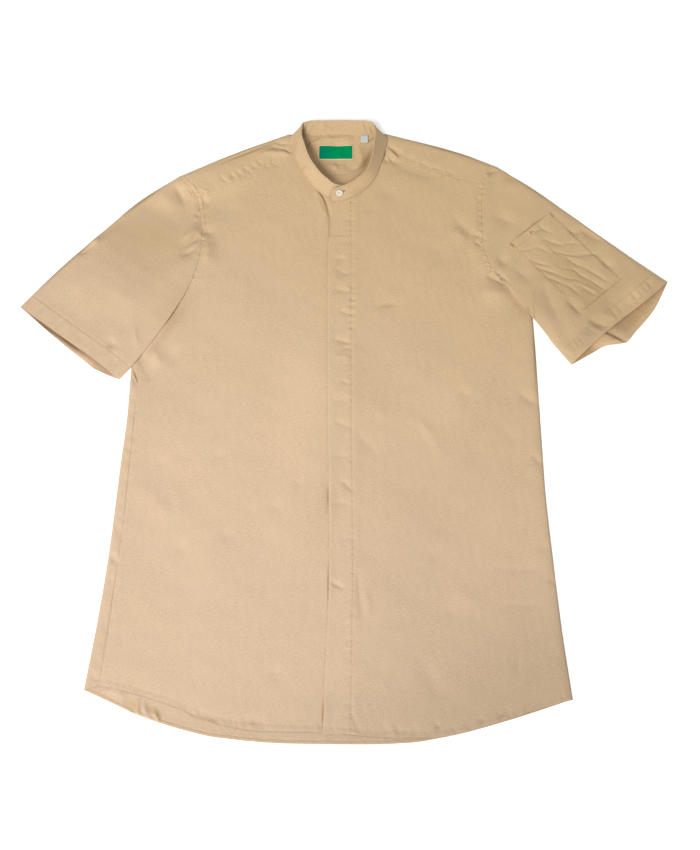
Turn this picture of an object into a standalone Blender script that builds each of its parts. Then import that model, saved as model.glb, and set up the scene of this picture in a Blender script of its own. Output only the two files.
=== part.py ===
"""Short-sleeved chef jacket of plain cotton, laid out flat on its back with the front up.

Millimetres are used while the shapes are worked out, and MM turns them into metres.
X runs to the right as one looks down at the front, Y towards the neck, Z up.
Left and right in the tables and functions are as seen from above. The names of the pieces
give the wearer's own side instead, so sleeve_right and front_right lie at -X.
"""

import math

import bmesh
import bpy
from mathutils import Vector

MM = 0.001

# ------------------------------------------------------------------ cloth and layers
CLOTH = 1.0                     # thickness of the cloth walls
GAP = 0.3                       # clear distance between two pieces
LAYER = CLOTH + GAP             # rise from one layer to the next one lying on it
ROLL = 1.5                      # middle radius of the soft folds at sides, shoulders and sleeves
BACK_Z = CLOTH / 2              # middle height of the back, which lies on the table
FOLD_Z = BACK_Z + 2 * ROLL      # middle height of the upper layer where it leaves a fold
REST_Z = BACK_Z + LAYER         # middle height of the fronts where they lie on the back
FOLD_REACH = 42.0               # how far in from a fold the upper layer sinks onto the lower
NECK_LIFT = 1.2                 # the collar band holds the neckline up by this much
NECK_REACH = 34.0               # and this far down from it
LAP_RISE = LAYER + 0.15         # rise of the left front where it lies on the right one
LAP_FLAT = 4.0                  # it starts to sink this far beyond the right front's edge
LAP_SINK = 30.0                 # and has come down within this distance
SIDE_TURN = 11.0                # the left front goes round the side and under by this much
ARMPIT_TURN = 2.0               # and by this much at the armpit

SLEEVE_RISE = LAYER + 2.0       # rise of a sleeve's upper layer where it meets the body
SLEEVE_RISE_REACH = 45.0        # which fades out this far beyond the body
SLEEVE_UNDER_RISE = LAYER + 0.2 # a sleeve's lower layer clears the body's folded side by this much
SLEEVE_UNDER_FLAT = 12.0        # up to this far beyond it,
SLEEVE_UNDER_SINK = 15.0        # and comes down to the table within this distance
CORNER_START = -0.1             # the sleeve counts as over the body from just outside the armpit,
CORNER_MARGIN = 4.0             # and up to this far past the seam of the armhole's corner
ARM_GAP = 0.7                   # clear distance across the armhole seams
POCKET_RISE = LAYER + 0.3       # height of the pocket over the sleeve

BAND_CLOTH = 1.6                # the band is two layers and an interlining
BAND_CLEAR = 1.3                # free height between its seam edge and the cloth below
YOKE_NECK_RISE = 1.0            # it stands higher over the yoke, which folds up beside it
BAND_CORNER = 6.0               # radius of the corners at its two ends
BAND_CORNER_PART = 0.3          # part of the band's height that each corner takes up
BUTTON_PLACE = 0.970            # how far round the band the button sits
BUTTON_HEIGHT = 0.62            # and how far up it
BUTTON_RADIUS = 4.5
BUTTON_THICKNESS = 2.2
BUTTON_LIFT = GAP + 0.2
BUTTON_HOLES = 4
HOLE_RADIUS = 0.6
HOLE_CIRCLE = 1.3               # radius of the circle that the holes lie on
# Half the button's section as parts of its radius and of its thickness
BUTTON_SECTION = ((0, 0), (0.8, 0), (1.0, 0.35), (1.0, 0.8), (0.9, 1.0), (0.72, 0.95), (0.62, 0.62),
                  (0, 0.62))
LABEL_SIZE = (48.5, 21.5)
LABEL_CENTRE = (-13.0, 381.5)
TAG_SIZE = (10.3, 11.0)
TAG_CENTRE = (27.0, 401.6)

# ------------------------------------------------------------------ outlines, (x, y) rows
# The body's sides, from the hem up to the armpit
SIDE_LEFT = ((-318, -356), (-307, -277), (-297, -189), (-288, -66), (-283, -5), (-281, 66), (-276, 158))
SIDE_RIGHT = ((278, -368), (269, -286), (262, -195), (256, -101), (253, 29), (251, 110), (249, 152))
# The side seam that shows on the front at the left, from the hem up to the armpit
SEAM_LEFT = ((-300, -350), (-295, -323), (-282, -174), (-276, -89), (-271, 36), (-270, 80), (-271, 158))
# Armholes of the fronts, from the armpit past the sleeve's lower fold up to the yoke
FRONT_ARM_LEFT = ((-271, 158), (-238, 171), (-205, 190), (-197, 220), (-194, 253), (-197, 285), (-202, 312))
FRONT_ARM_RIGHT = ((249, 152), (232, 166), (212, 186), (195, 211), (187, 251), (187, 290), (191, 332))
SLEEVE_FOLD_ROW = 2             # the row of the two armhole tables where the lower fold begins
# Armholes of the back, from the armpit up to the yoke
BACK_ARM_LEFT = ((-276, 158), (-256, 184), (-231, 214), (-217, 250), (-213, 285), (-216, 316))
BACK_ARM_RIGHT = ((246.6, 152), (224, 180), (205, 214), (197, 250), (196, 290), (200, 326))
# Folds of the shoulders, from the tip in to the neck
SHOULDER_LEFT = ((-229, 345), (-150, 382), (-78, 411))
SHOULDER_RIGHT = ((211, 359), (153, 383), (58, 411))
# Hems, from left to right
FRONT_HEM = ((-300, -350), (-270, -357), (-213, -374), (-159, -395), (-105, -405), (-26, -407), (57, -413),
             (106, -413), (171, -400), (230, -381), (278, -368))
BACK_HEM = ((-318, -356), (-291, -368), (-248, -387), (-198, -403), (-152, -413), (-66, -420), (24, -421),
            (78, -419), (140, -408), (204, -391), (267, -371))
# Seams of the yoke, from left to right
YOKE_SEAM_LEFT = ((-202, 312), (-166, 332), (-137, 346), (-73, 381))
YOKE_SEAM_RIGHT = ((56, 378), (100, 363), (130, 350), (191, 332))
YOKE_SEAM_BACK = ((-216, 316), (-120, 337), (-8, 348), (105, 344), (200, 326))
# Neckline of the fronts, from the yoke down to the middle
NECKLINE_LEFT = ((-73, 381), (-64, 360), (-47, 333), (-35, 320), (-24, 312), (7, 313))
NECKLINE_RIGHT = ((56, 378), (50, 363), (42, 342), (28, 324), (9, 310))
BACK_NECK = ((-67, 406), (-3, 408), (41, 407))
# The covered placket: the height, its folded edge and its stitched edge
PLACKET = ((-408, -26, 8), (-345, -24, 9), (-196, -19, 11), (16, -22, 9), (158, -23, 9), (251, -22, 9),
           (254, -19, 9), (303, -19, 9))
PLACKET_SEAM_Y = 252.5          # the short piece at the top starts above this cross seam
PLACKET_CORNER = 6.0            # its upper corner is cut down by this much
UNDERLAP_X = 7.0                # the hidden edge of the right front, under the placket
FRONT_EDGE_Y = -409.0           # lower end of both fronts' middle edges

# The collar band, once round from its hidden end to its button tab:
# seam x, seam y, what the seam lies above, top edge x, top edge y, rise of the top edge
BAND = (
    (5, 314, 'right', 4, 322, 15.0),
    (-11, 313, 'right', -8, 322, 16.5),
    (-24, 312, 'right', -16, 324, 18.0),
    (-35, 320, 'right', -24, 331, 18.5),
    (-47, 333, 'right', -35, 342, 18.5),
    (-64, 360, 'right', -49, 365, 18.0),
    (-73, 381, 'right', -56, 386, 17.0),
    (-78, 402, 'right', -60, 404, 15.0),
    (-73, 408, 'yoke', -58, 418, 17.0),
    (-56, 406, 'yoke', -46, 422, 17.0),
    (-8, 407, 'yoke', -9, 422, 17.5),
    (34, 406, 'yoke', 27, 422, 17.0),
    (52, 408, 'yoke', 38, 418, 17.0),
    (59, 402, 'left', 42, 404, 15.0),
    (55, 381, 'left', 40, 384, 17.0),
    (49, 361, 'left', 35, 359, 18.0),
    (42, 342, 'left', 28, 342, 18.5),
    (28, 324, 'left', 16, 331, 18.0),
    (9, 310, 'top', 1, 321, 17.0),
    (-8, 305, 'top', -10, 317, 16.5),
    (-19, 303, 'top', -18, 314, 15.5),
)

# The sleeves, (x, y) rows from the shoulder or armpit out to the cuff
SLEEVE_TOP_LEFT = (SHOULDER_LEFT[0], (-281, 308), (-319, 272), (-390, 200), (-434, 150))
SLEEVE_LOW_LEFT = ((-205, 190), (-219, 159), (-280, 65), (-296, 46))
UNDERARM_LEFT = ((-276, 158), (-304, 126), (-330, 62))
CUFF_LEFT = ((-434, 150), (-373, 104), (-323, 68), (-296, 46))
CUFF_UNDER_LEFT = ((-434, 150), (-376, 99), (-330, 62))
SLEEVE_TOP_RIGHT = (SHOULDER_RIGHT[0], (258, 326), (303, 290), (392, 218), (434, 186))
SLEEVE_LOW_RIGHT = ((212, 186), (234, 156), (278, 95), (299, 68))
UNDERARM_RIGHT = ((246.6, 152), (280, 124), (328, 85))
CUFF_RIGHT = ((434, 186), (406, 160), (348, 113), (299, 68))
CUFF_UNDER_RIGHT = ((434, 186), (413, 146), (386, 114), (371.5, 98.5), (345, 94), (328, 85))

# The pocket on the left sleeve: corners round from the top one at the armhole side
POCKET = ((224, 242), (280, 287), (370, 187), (316, 142))

# ------------------------------------------------------------------ counts
ROWS_BELOW_ARM = 9
ROWS_TO_FOLD = 2
ROWS_TO_YOKE = 6
ROWS_OF_YOKE = 3
COLUMNS_YOKE = 6
COLUMNS_NECK = 5
COLUMNS_HALF = COLUMNS_YOKE + COLUMNS_NECK
COLUMNS_BACK = 2 * COLUMNS_YOKE + COLUMNS_NECK + 1
COLUMNS_PLACKET = 3
FOLD_TURNS = 4
SLEEVE_ROWS = 9
SLEEVE_GUSSET_COLUMNS = 5
POCKET_COLUMNS = 4
POCKET_ROWS = 8
BAND_STEPS = 48
BAND_HEIGHTS = (0.0, 0.1, 0.3, 0.7, 0.9, 1.0)   # rows of the band as parts of its height

# ------------------------------------------------------------------ colours
CLOTH_COLOUR = (0.72, 0.53, 0.35, 1)
BUTTON_COLOUR = (0.86, 0.82, 0.74, 1)
LABEL_COLOUR = (0.01, 0.27, 0.10, 1)
TAG_COLOUR = (0.80, 0.81, 0.80, 1)


# ------------------------------------------------------------------ curves
def ease(value):
    """A soft step from 0 to 1."""
    t = min(max(value, 0.0), 1.0)
    return t * t * (3 - 2 * t)


def slopes(keys, values):
    """Slopes of a curve through the values that never swings past them."""
    steps = [(b - a) / (q - p) for p, q, a, b in zip(keys, keys[1:], values, values[1:])]
    inner = [0.0 if a * b <= 0 else 2 * a * b / (a + b) for a, b in zip(steps, steps[1:])]
    return [steps[0]] + inner + [steps[-1]]


def read(keys, values, key):
    """Value of the smooth curve through (keys, values) at one key."""
    key = min(max(key, keys[0]), keys[-1])
    i = max(k for k in range(len(keys) - 1) if keys[k] <= key)
    width = keys[i + 1] - keys[i]
    t = (key - keys[i]) / width
    slope = slopes(keys, values)
    step = ease(t)
    bend = width * (slope[i] * t * (1 - t) ** 2 - slope[i + 1] * t * t * (1 - t))
    return values[i] + (values[i + 1] - values[i]) * step + bend


def along(points, count, by=None):
    """Evenly spaced points of the curve: by its length, or by the coordinate named by its index."""
    if by is None:
        keys = [0.0]
        for a, b in zip(points, points[1:]):
            keys.append(keys[-1] + math.dist(a, b))
    else:
        keys = [p[by] for p in points]
    columns = list(zip(*points))
    places = [keys[0] + (keys[-1] - keys[0]) * i / count for i in range(count + 1)]
    return [tuple(read(keys, column, place) for column in columns) for place in places]


def fractions(points):
    """How far along the row each point is, from 0 to 1."""
    total = [0.0]
    for a, b in zip(points, points[1:]):
        total.append(total[-1] + math.dist(a, b))
    return [t / total[-1] for t in total]


def patch(bottom, top, left, right):
    """Rows of points that fill the four edges. Bottom and top run left to right, the others upwards."""
    across = [(a + b) / 2 for a, b in zip(fractions(bottom), fractions(top))]
    upward = [(a + b) / 2 for a, b in zip(fractions(left), fractions(right))]
    rows = []
    for j, v in enumerate(upward):
        row = []
        for i, u in enumerate(across):
            point = []
            for k in (0, 1):
                ruled = (1 - v) * bottom[i][k] + v * top[i][k] + (1 - u) * left[j][k] + u * right[j][k]
                corners = ((1 - v) * ((1 - u) * bottom[0][k] + u * bottom[-1][k])
                           + v * ((1 - u) * top[0][k] + u * top[-1][k]))
                point.append(ruled - corners)
            row.append(tuple(point))
        rows.append(row)
    return rows


def distance(path, x, y):
    """Distance of a point from a row of straight pieces."""
    best = math.inf
    for (ax, ay), (bx, by) in zip(path, path[1:]):
        dx, dy = bx - ax, by - ay
        t = min(max(((x - ax) * dx + (y - ay) * dy) / (dx * dx + dy * dy), 0.0), 1.0)
        best = min(best, math.hypot(ax + t * dx - x, ay + t * dy - y))
    return best


def shifted(points, dx, dy):
    return [(x + dx, y + dy) for x, y in points]


# ------------------------------------------------------------------ heights
FOLD_LINES = (
    SIDE_LEFT + FRONT_ARM_LEFT[1:] + SHOULDER_LEFT,
    SIDE_RIGHT + FRONT_ARM_RIGHT[1:] + SHOULDER_RIGHT,
)
NECK_LINES = (SHOULDER_LEFT[-1:] + NECKLINE_LEFT, SHOULDER_RIGHT[-1:] + NECKLINE_RIGHT + ((-19, 303),))


def front_z(x, y):
    """Middle height of the lower of the two fronts."""
    near_fold = 1 - ease(min(distance(line, x, y) for line in FOLD_LINES) / FOLD_REACH)
    near_neck = 1 - ease(min(distance(line, x, y) for line in NECK_LINES) / NECK_REACH)
    return REST_Z + (FOLD_Z - REST_Z) * near_fold + NECK_LIFT * near_neck


def left_front_z(x, y):
    """The left front lies on the right one, and sinks beside it."""
    return front_z(x, y) + LAP_RISE * (1 - ease((x - UNDERLAP_X - LAP_FLAT) / LAP_SINK))


def beyond(side, arm, line, x, y):
    """How far a point lies from the line, or 0 over the body below the armhole."""
    armpit, corner = side[-1], arm[SLEEVE_FOLD_ROW]
    sign = -1 if armpit[0] < 0 else 1
    edge = read([p[1] for p in side], [p[0] for p in side], y)
    inward = (x - armpit[0]) / (corner[0] - armpit[0])
    seam_y = armpit[1] + inward * (corner[1] - armpit[1])
    over_corner = inward >= CORNER_START and y <= seam_y + CORNER_MARGIN
    if over_corner or (sign * (x - edge) <= 0 and y <= armpit[1]):
        return 0.0
    return distance(line, x, y)


def sleeve_low_z(x, y, side, arm):
    """Middle height of a sleeve's lower layer: on the table, or over the body's side."""
    clear = beyond(side, arm, side, x, y)
    rise = FOLD_Z + SLEEVE_UNDER_RISE - BACK_Z
    return BACK_Z + rise * (1 - ease((clear - SLEEVE_UNDER_FLAT) / SLEEVE_UNDER_SINK))


def sleeve_top_z(x, y, side, arm):
    """Middle height of a sleeve's upper layer."""
    clear = beyond(side, arm, side + (arm[SLEEVE_FOLD_ROW],), x, y)
    return FOLD_Z + SLEEVE_RISE * (1 - ease(clear / SLEEVE_RISE_REACH))


# ------------------------------------------------------------------ solids
def material(name, colour, roughness):
    made = bpy.data.materials.new(name)
    made.use_nodes = True
    shader = made.node_tree.nodes['Principled BSDF']
    shader.inputs['Base Color'].default_value = colour
    shader.inputs['Roughness'].default_value = roughness
    made.diffuse_color = colour
    return made


def cloth(name, rows, thickness=CLOTH, ring=False, colour=CLOTH_COLOUR, roughness=0.75):
    """A cloth wall through rows of (x, y, z) points of its middle. None leaves a place empty."""
    shape = bmesh.new()
    verts = [[None if p is None else shape.verts.new(Vector(p) * MM) for p in row] for row in rows]
    width = len(rows[0])
    for lower, upper in zip(verts, verts[1:]):
        for i in range(width if ring else width - 1):
            k = (i + 1) % width
            corners = (lower[i], lower[k], upper[k], upper[i])
            if None not in corners:
                shape.faces.new(corners)
    bmesh.ops.recalc_face_normals(shape, faces=shape.faces)
    mesh = bpy.data.meshes.new(name)
    shape.to_mesh(mesh)
    shape.free()
    mesh.shade_smooth()
    made = bpy.data.objects.new(name, mesh)
    bpy.context.collection.objects.link(made)
    wall = made.modifiers.new('wall', 'SOLIDIFY')
    wall.thickness = thickness * MM
    wall.offset = 0
    wall.use_even_offset = True
    made.data.materials.append(material(name, colour, roughness))
    return made


def fold(edge, inner, low_z, high_z):
    """Points round a soft fold, from its upper layer to its lower one; edge is its outermost line."""
    radius = (high_z - low_z) / 2
    out = Vector((edge[0] - inner[0], edge[1] - inner[1])).normalized()
    points = []
    for step in range(FOLD_TURNS + 1):
        angle = math.pi * step / FOLD_TURNS
        back = radius * (1 - math.sin(angle))
        points.append((edge[0] - out.x * back, edge[1] - out.y * back,
                       low_z + radius + radius * math.cos(angle)))
    return points


def between(a, b, count):
    """Points that part the way from a to b evenly, without a and b."""
    return [tuple(p + (q - p) * i / count for p, q in zip(a, b)) for i in range(1, count)]


# ------------------------------------------------------------------ the body
def arm_levels(side, arm):
    """A front's side and armhole, from the hem up, at the rows that its neighbours share."""
    split = arm[SLEEVE_FOLD_ROW]
    low = along(side, ROWS_BELOW_ARM, by=1)
    corner = along(arm[:SLEEVE_FOLD_ROW + 1], ROWS_TO_FOLD, by=1)
    upper = along((split,) + arm[SLEEVE_FOLD_ROW + 1:], ROWS_TO_YOKE, by=1)
    return low[:-1] + corner[:-1] + upper


def rising(levels, low, high, place):
    """Points on a line that rises with the levels; place gives x at a height."""
    first, last = levels[0][1], levels[-1][1]
    heights = [low + (high - low) * (y - first) / (last - first) for x, y in levels]
    return [(place(y), y) for y in heights]


def hem_points(hem, first, last, count):
    """Points of a hem between two x places."""
    keys = [p[0] for p in hem]
    values = [p[1] for p in hem]
    places = [first + (last - first) * i / count for i in range(count + 1)]
    return [(x, read(keys, values, x)) for x in places]


def placket_x(column, y):
    keys = [row[0] for row in PLACKET]
    return read(keys, [row[column] for row in PLACKET], y)


def front_right_rows():
    side = arm_levels(SEAM_LEFT, FRONT_ARM_LEFT)
    middle = rising(side, FRONT_EDGE_Y, NECKLINE_LEFT[-1][1], lambda y: UNDERLAP_X)
    hem = hem_points(FRONT_HEM, SEAM_LEFT[0][0], UNDERLAP_X, COLUMNS_HALF)
    hem[-1] = middle[0]
    seam = along(YOKE_SEAM_LEFT, COLUMNS_YOKE)
    neck = along(NECKLINE_LEFT, COLUMNS_NECK)
    flat = patch(hem, seam + neck[1:], side, middle)
    return [[(x, y, front_z(x, y)) for x, y in row] for row in flat]


def front_left_rows():
    """The placket's columns, the flat of the panel, then its turn round the side."""
    side = arm_levels(SIDE_RIGHT, FRONT_ARM_RIGHT)
    seam_y = NECKLINE_RIGHT[-1][1]
    stitched = rising(side, FRONT_EDGE_Y, seam_y, lambda y: placket_x(2, y))
    hem = hem_points(FRONT_HEM, stitched[0][0], SIDE_RIGHT[0][0], COLUMNS_HALF)
    hem[0] = stitched[0]
    hem[-1] = side[0]
    neck = along(NECKLINE_RIGHT[::-1], COLUMNS_NECK)
    seam = along(YOKE_SEAM_RIGHT, COLUMNS_YOKE)
    flat = patch(hem, neck + seam[1:], stitched, side)
    rows = []
    for j, row in enumerate(flat):
        x, y = row[0]
        edge = (placket_x(1, y), y - (PLACKET_CORNER if j == len(flat) - 1 else 0.0))
        plan = [edge] + between(edge, row[0], COLUMNS_PLACKET) + row
        points = [(x, y, left_front_z(x, y)) for x, y in plan]
        if j <= ROWS_BELOW_ARM:
            turn = fold(row[-1], row[-2], BACK_Z, FOLD_Z)
            width = SIDE_TURN if j < ROWS_BELOW_ARM else ARMPIT_TURN
            points = points[:-1] + turn + [(row[-1][0] - width, turn[-1][1], BACK_Z)]
        else:
            points += [None] * (FOLD_TURNS + 1)
        rows.append(points)
    return rows


def placket_rows(panel, low=-math.inf, high=math.inf):
    """Lies on the first columns of the left front between two heights."""
    columns = [list(column) for column in zip(*(row[:COLUMNS_PLACKET + 1] for row in panel))]
    cut = []
    for column in columns:
        points = [p for p in column if low < p[1] < high]
        for height in (low, high):
            for a, b in zip(column, column[1:]):
                if a[1] <= height < b[1]:
                    part = (height - a[1]) / (b[1] - a[1])
                    points.append(tuple(p + (q - p) * part for p, q in zip(a, b)))
        cut.append(sorted(points, key=lambda p: p[1]))
    return [[(x, y, z + LAYER) for x, y, z in row] for row in zip(*cut)]


def back_rows():
    """The back from side to side; at the left it turns round the side onto the front."""
    left = along(SIDE_LEFT, ROWS_BELOW_ARM, by=1)
    left = left[:-1] + along(BACK_ARM_LEFT, ROWS_TO_FOLD + ROWS_TO_YOKE, by=1)
    inner = tuple((x - SIDE_TURN - GAP, y) for x, y in SIDE_RIGHT)
    right = along(inner, ROWS_BELOW_ARM, by=1)
    right = right[:-1] + along(BACK_ARM_RIGHT, ROWS_TO_FOLD + ROWS_TO_YOKE, by=1)
    hem = hem_points(BACK_HEM, left[0][0], right[0][0], COLUMNS_BACK)
    hem[0] = left[0]
    hem[-1] = right[0]
    flat = patch(hem, along(YOKE_SEAM_BACK, COLUMNS_BACK, by=0), left, right)
    seam = along(SEAM_LEFT, ROWS_BELOW_ARM, by=1)
    rows = []
    for j, row in enumerate(flat):
        under = [(x, y, BACK_Z) for x, y in row]
        if j <= ROWS_BELOW_ARM:
            turn = fold(row[0], row[1], BACK_Z, FOLD_Z)
            strip_end = (seam[j][0] - GAP, seam[j][1], FOLD_Z)
            strip = [strip_end] + between(strip_end, turn[0], 2)
            rows.append(strip + turn + under[1:])
        else:
            rows.append([None] * (FOLD_TURNS + 2) + under)
    return rows


def yoke_half(seam, back_seam, shoulder):
    """One shoulder from the armhole in to the neck: columns from the front seam over to the back seam."""
    fold_line = along(shoulder, COLUMNS_YOKE)
    columns = []
    for i in range(COLUMNS_YOKE + 1):
        front = (seam[i][0], seam[i][1] + GAP)
        back = (back_seam[i][0], back_seam[i][1] + GAP)
        edge = fold_line[i]
        turn = fold(edge, ((front[0] + back[0]) / 2, front[1]), BACK_Z, FOLD_Z)
        upper = [front] + between(front, turn[0][:2], ROWS_OF_YOKE)
        lower = between(turn[-1][:2], back, ROWS_OF_YOKE) + [back]
        column = [(x, y, front_z(x, y)) for x, y in upper]
        column += [turn[0][:2] + (front_z(*turn[0][:2]),)] + turn[1:]
        column += [(x, y, BACK_Z) for x, y in lower]
        columns.append(column)
    return columns


def yoke_columns():
    back = along(YOKE_SEAM_BACK, COLUMNS_BACK, by=0)
    left = yoke_half(along(YOKE_SEAM_LEFT, COLUMNS_YOKE), back[:COLUMNS_YOKE + 1], SHOULDER_LEFT)
    right = yoke_half(along(YOKE_SEAM_RIGHT, COLUMNS_YOKE)[::-1], back[:-COLUMNS_YOKE - 2:-1],
                      SHOULDER_RIGHT)
    middle = []
    empty = [None] * (ROWS_OF_YOKE + FOLD_TURNS)
    neck = along(BACK_NECK, COLUMNS_NECK - 1)
    for i, edge in enumerate(neck):
        foot = back[COLUMNS_YOKE + 1 + i]
        foot = (foot[0], foot[1] + GAP)
        plan = [edge] + between(edge, foot, ROWS_OF_YOKE) + [foot]
        middle.append(empty + [(x, y, BACK_Z) for x, y in plan])
    return left + middle + right[::-1]


# ------------------------------------------------------------------ sleeves
def sleeve_rows(arm, back_arm, top, low, underarm, cuff, cuff_under, side):
    """Rings of a flat tube from the armhole to the cuff."""
    tip = top[0]
    gap = ARM_GAP if tip[0] > 0 else -ARM_GAP
    split = arm[SLEEVE_FOLD_ROW]
    front = along((split,) + arm[SLEEVE_FOLD_ROW + 1:], ROWS_TO_YOKE, by=1)[::-1]
    shoulder = along((tip, arm[-1]), ROWS_OF_YOKE)
    upper_start = shifted(shoulder[:-1] + front, gap, 0)
    count = len(upper_start) - 1
    top_line = along(top, SLEEVE_ROWS)
    low_line = along(low, SLEEVE_ROWS)
    seam_line = along(underarm, SLEEVE_ROWS)
    for line, start in ((top_line, upper_start[0]), (low_line, upper_start[-1])):
        line[0] = start
    seam_line[0] = (underarm[0][0] + gap, underarm[0][1])
    upper = patch(upper_start, along(cuff, count), top_line, low_line)
    shoulder = along((tip, back_arm[-1]), ROWS_OF_YOKE)
    back = along(back_arm, ROWS_TO_FOLD + ROWS_TO_YOKE, by=1)[::-1]
    back_start = shifted(shoulder[:-1] + back, gap, 0)
    main = patch(back_start, along(cuff_under, len(back_start) - 1), top_line, seam_line)
    gusset_end = along((cuff_under[-1], cuff[-1]), SLEEVE_GUSSET_COLUMNS)
    gusset_start = along((seam_line[0], low_line[0]), SLEEVE_GUSSET_COLUMNS)
    gusset = patch(gusset_start, gusset_end, seam_line, low_line)
    rows = []
    for over, under, corner in zip(upper, main, gusset):
        heights = [(sleeve_low_z(*p, side, arm), sleeve_top_z(*p, side, arm)) for p in (over[0], over[-1])]
        at_low = fold(over[-1], over[-2], *heights[1])
        at_top = fold(over[0], over[1], *heights[0])[::-1]
        ring = [(x, y, sleeve_top_z(x, y, side, arm)) for x, y in over[1:-1]] + at_low
        ring += [(x, y, sleeve_low_z(x, y, side, arm)) for x, y in corner[-2:0:-1] + under[:0:-1]]
        rows.append(ring + at_top)
    return rows


def pocket_rows():
    """The patch pocket follows the sleeve's upper layer."""
    a, b, c, d = POCKET
    flat = patch(along((a, b), POCKET_COLUMNS), along((d, c), POCKET_COLUMNS),
                 along((a, d), POCKET_ROWS), along((b, c), POCKET_ROWS))
    return [[(x, y, sleeve_top_z(x, y, SIDE_RIGHT, FRONT_ARM_RIGHT) + POCKET_RISE) for x, y in row]
            for row in flat]


# ------------------------------------------------------------------ collar
def seam_height(kind, x, y):
    clear = CLOTH / 2 + BAND_CLEAR
    return {'right': front_z(x, y) + clear,
            'left': left_front_z(x, y) + clear,
            'top': left_front_z(x, y) + LAYER + clear,
            'yoke': BACK_Z + YOKE_NECK_RISE + clear}[kind]


def band_surface():
    """The band's length along its seam, and a function for its points: along it, and from seam to top."""
    seam = [(x, y, seam_height(kind, x, y)) for x, y, kind, *top in BAND]
    top = [(tx, ty, z + rise) for (*foot, tx, ty, rise), (x, y, z) in zip(BAND, seam)]
    keys = [0.0]
    for a, b in zip(seam, seam[1:]):
        keys.append(keys[-1] + math.dist(a, b))
    columns = list(zip(*seam)), list(zip(*top))

    def point(place, height):
        low, high = ([read(keys, column, place) for column in line] for line in columns)
        return tuple(p + (q - p) * height for p, q in zip(low, high))
    return keys[-1], point


def band_rows():
    """From the seam up to the top edge; the corners at both ends are round."""
    length, point = band_surface()
    rows = []
    for height in BAND_HEIGHTS:
        off_middle = max(abs(height - 0.5) - (0.5 - BAND_CORNER_PART), 0.0) / BAND_CORNER_PART
        corner = BAND_CORNER * (1 - math.sqrt(1 - off_middle ** 2))
        places = [corner + (length - 2 * corner) * i / BAND_STEPS for i in range(BAND_STEPS + 1)]
        rows.append([point(place, height) for place in places])
    return rows


def collar_button():
    """A disc with a raised rim and four holes, flat on the outside of the band's tab."""
    length, point = band_surface()
    place = length * BUTTON_PLACE
    centre = Vector(point(place, BUTTON_HEIGHT))
    run = (Vector(point(place - 1, BUTTON_HEIGHT)) - Vector(point(place + 1, BUTTON_HEIGHT))).normalized()
    up = (Vector(point(place, 1)) - Vector(point(place, 0))).normalized()
    out = run.cross(up).normalized()
    if out.z < 0:
        out = -out
    lift = BAND_CLOTH / 2 + BUTTON_LIFT
    shape = bmesh.new()
    ring = [shape.verts.new((r * BUTTON_RADIUS * MM, 0, z * BUTTON_THICKNESS * MM))
            for r, z in BUTTON_SECTION]
    edges = [shape.edges.new(pair) for pair in zip(ring, ring[1:])]
    bmesh.ops.spin(shape, geom=ring + edges, cent=(0, 0, 0), axis=(0, 0, 1), angle=math.tau, steps=32)
    bmesh.ops.remove_doubles(shape, verts=shape.verts, dist=1e-6)
    bmesh.ops.recalc_face_normals(shape, faces=shape.faces)
    mesh = bpy.data.meshes.new('collar_button')
    shape.to_mesh(mesh)
    shape.free()
    button = bpy.data.objects.new('collar_button', mesh)
    bpy.context.collection.objects.link(button)
    mesh.materials.append(material('collar_button', BUTTON_COLOUR, 0.3))
    for corner in range(BUTTON_HOLES):
        angle = math.tau * (corner + 0.5) / BUTTON_HOLES
        bpy.ops.mesh.primitive_cylinder_add(vertices=12, radius=HOLE_RADIUS * MM,
                                            depth=4 * BUTTON_THICKNESS * MM)
        hole = bpy.context.object
        hole.name = f'hole_{corner}'
        hole.location = (HOLE_CIRCLE * MM * math.cos(angle), HOLE_CIRCLE * MM * math.sin(angle), 0)
        hole.parent = button
        hole.hide_render = True
        hole.display_type = 'WIRE'
        cut = button.modifiers.new(hole.name, 'BOOLEAN')
        cut.operation = 'DIFFERENCE'
        cut.object = hole
    button.location = (centre + out * lift) * MM
    button.rotation_mode = 'QUATERNION'
    button.rotation_quaternion = out.to_track_quat('Z', 'Y')
    mesh.shade_smooth()
    mesh.set_sharp_from_angle(angle=math.radians(35))
    return button


# ------------------------------------------------------------------ labels
def flat_piece(name, size, centre, thickness, colour):
    """A flat rectangle lying on the inside of the yoke."""
    base = CLOTH + GAP + thickness / 2
    x, y = centre
    w, h = size
    rows = [[(x + sx * w / 2, y + sy * h / 2, base) for sx in (-1, 1)] for sy in (-1, 1)]
    return cloth(name, rows, thickness, colour=colour, roughness=0.6)


def centre_on_origin():
    """Moves the finished jacket so that its box stands on the origin by the middle of its base."""
    bpy.context.view_layer.update()
    graph = bpy.context.evaluated_depsgraph_get()
    points = []
    for made in bpy.context.scene.objects:
        if made.type == 'MESH' and not made.hide_render:
            solid = made.evaluated_get(graph)
            points += [solid.matrix_world @ v.co for v in solid.data.vertices]
    low = [min(p[k] for p in points) for k in range(3)]
    high = [max(p[k] for p in points) for k in range(3)]
    move = Vector(((low[0] + high[0]) / -2, (low[1] + high[1]) / -2, -low[2]))
    for made in bpy.context.scene.objects:
        if made.parent is None:
            made.location += move


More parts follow.
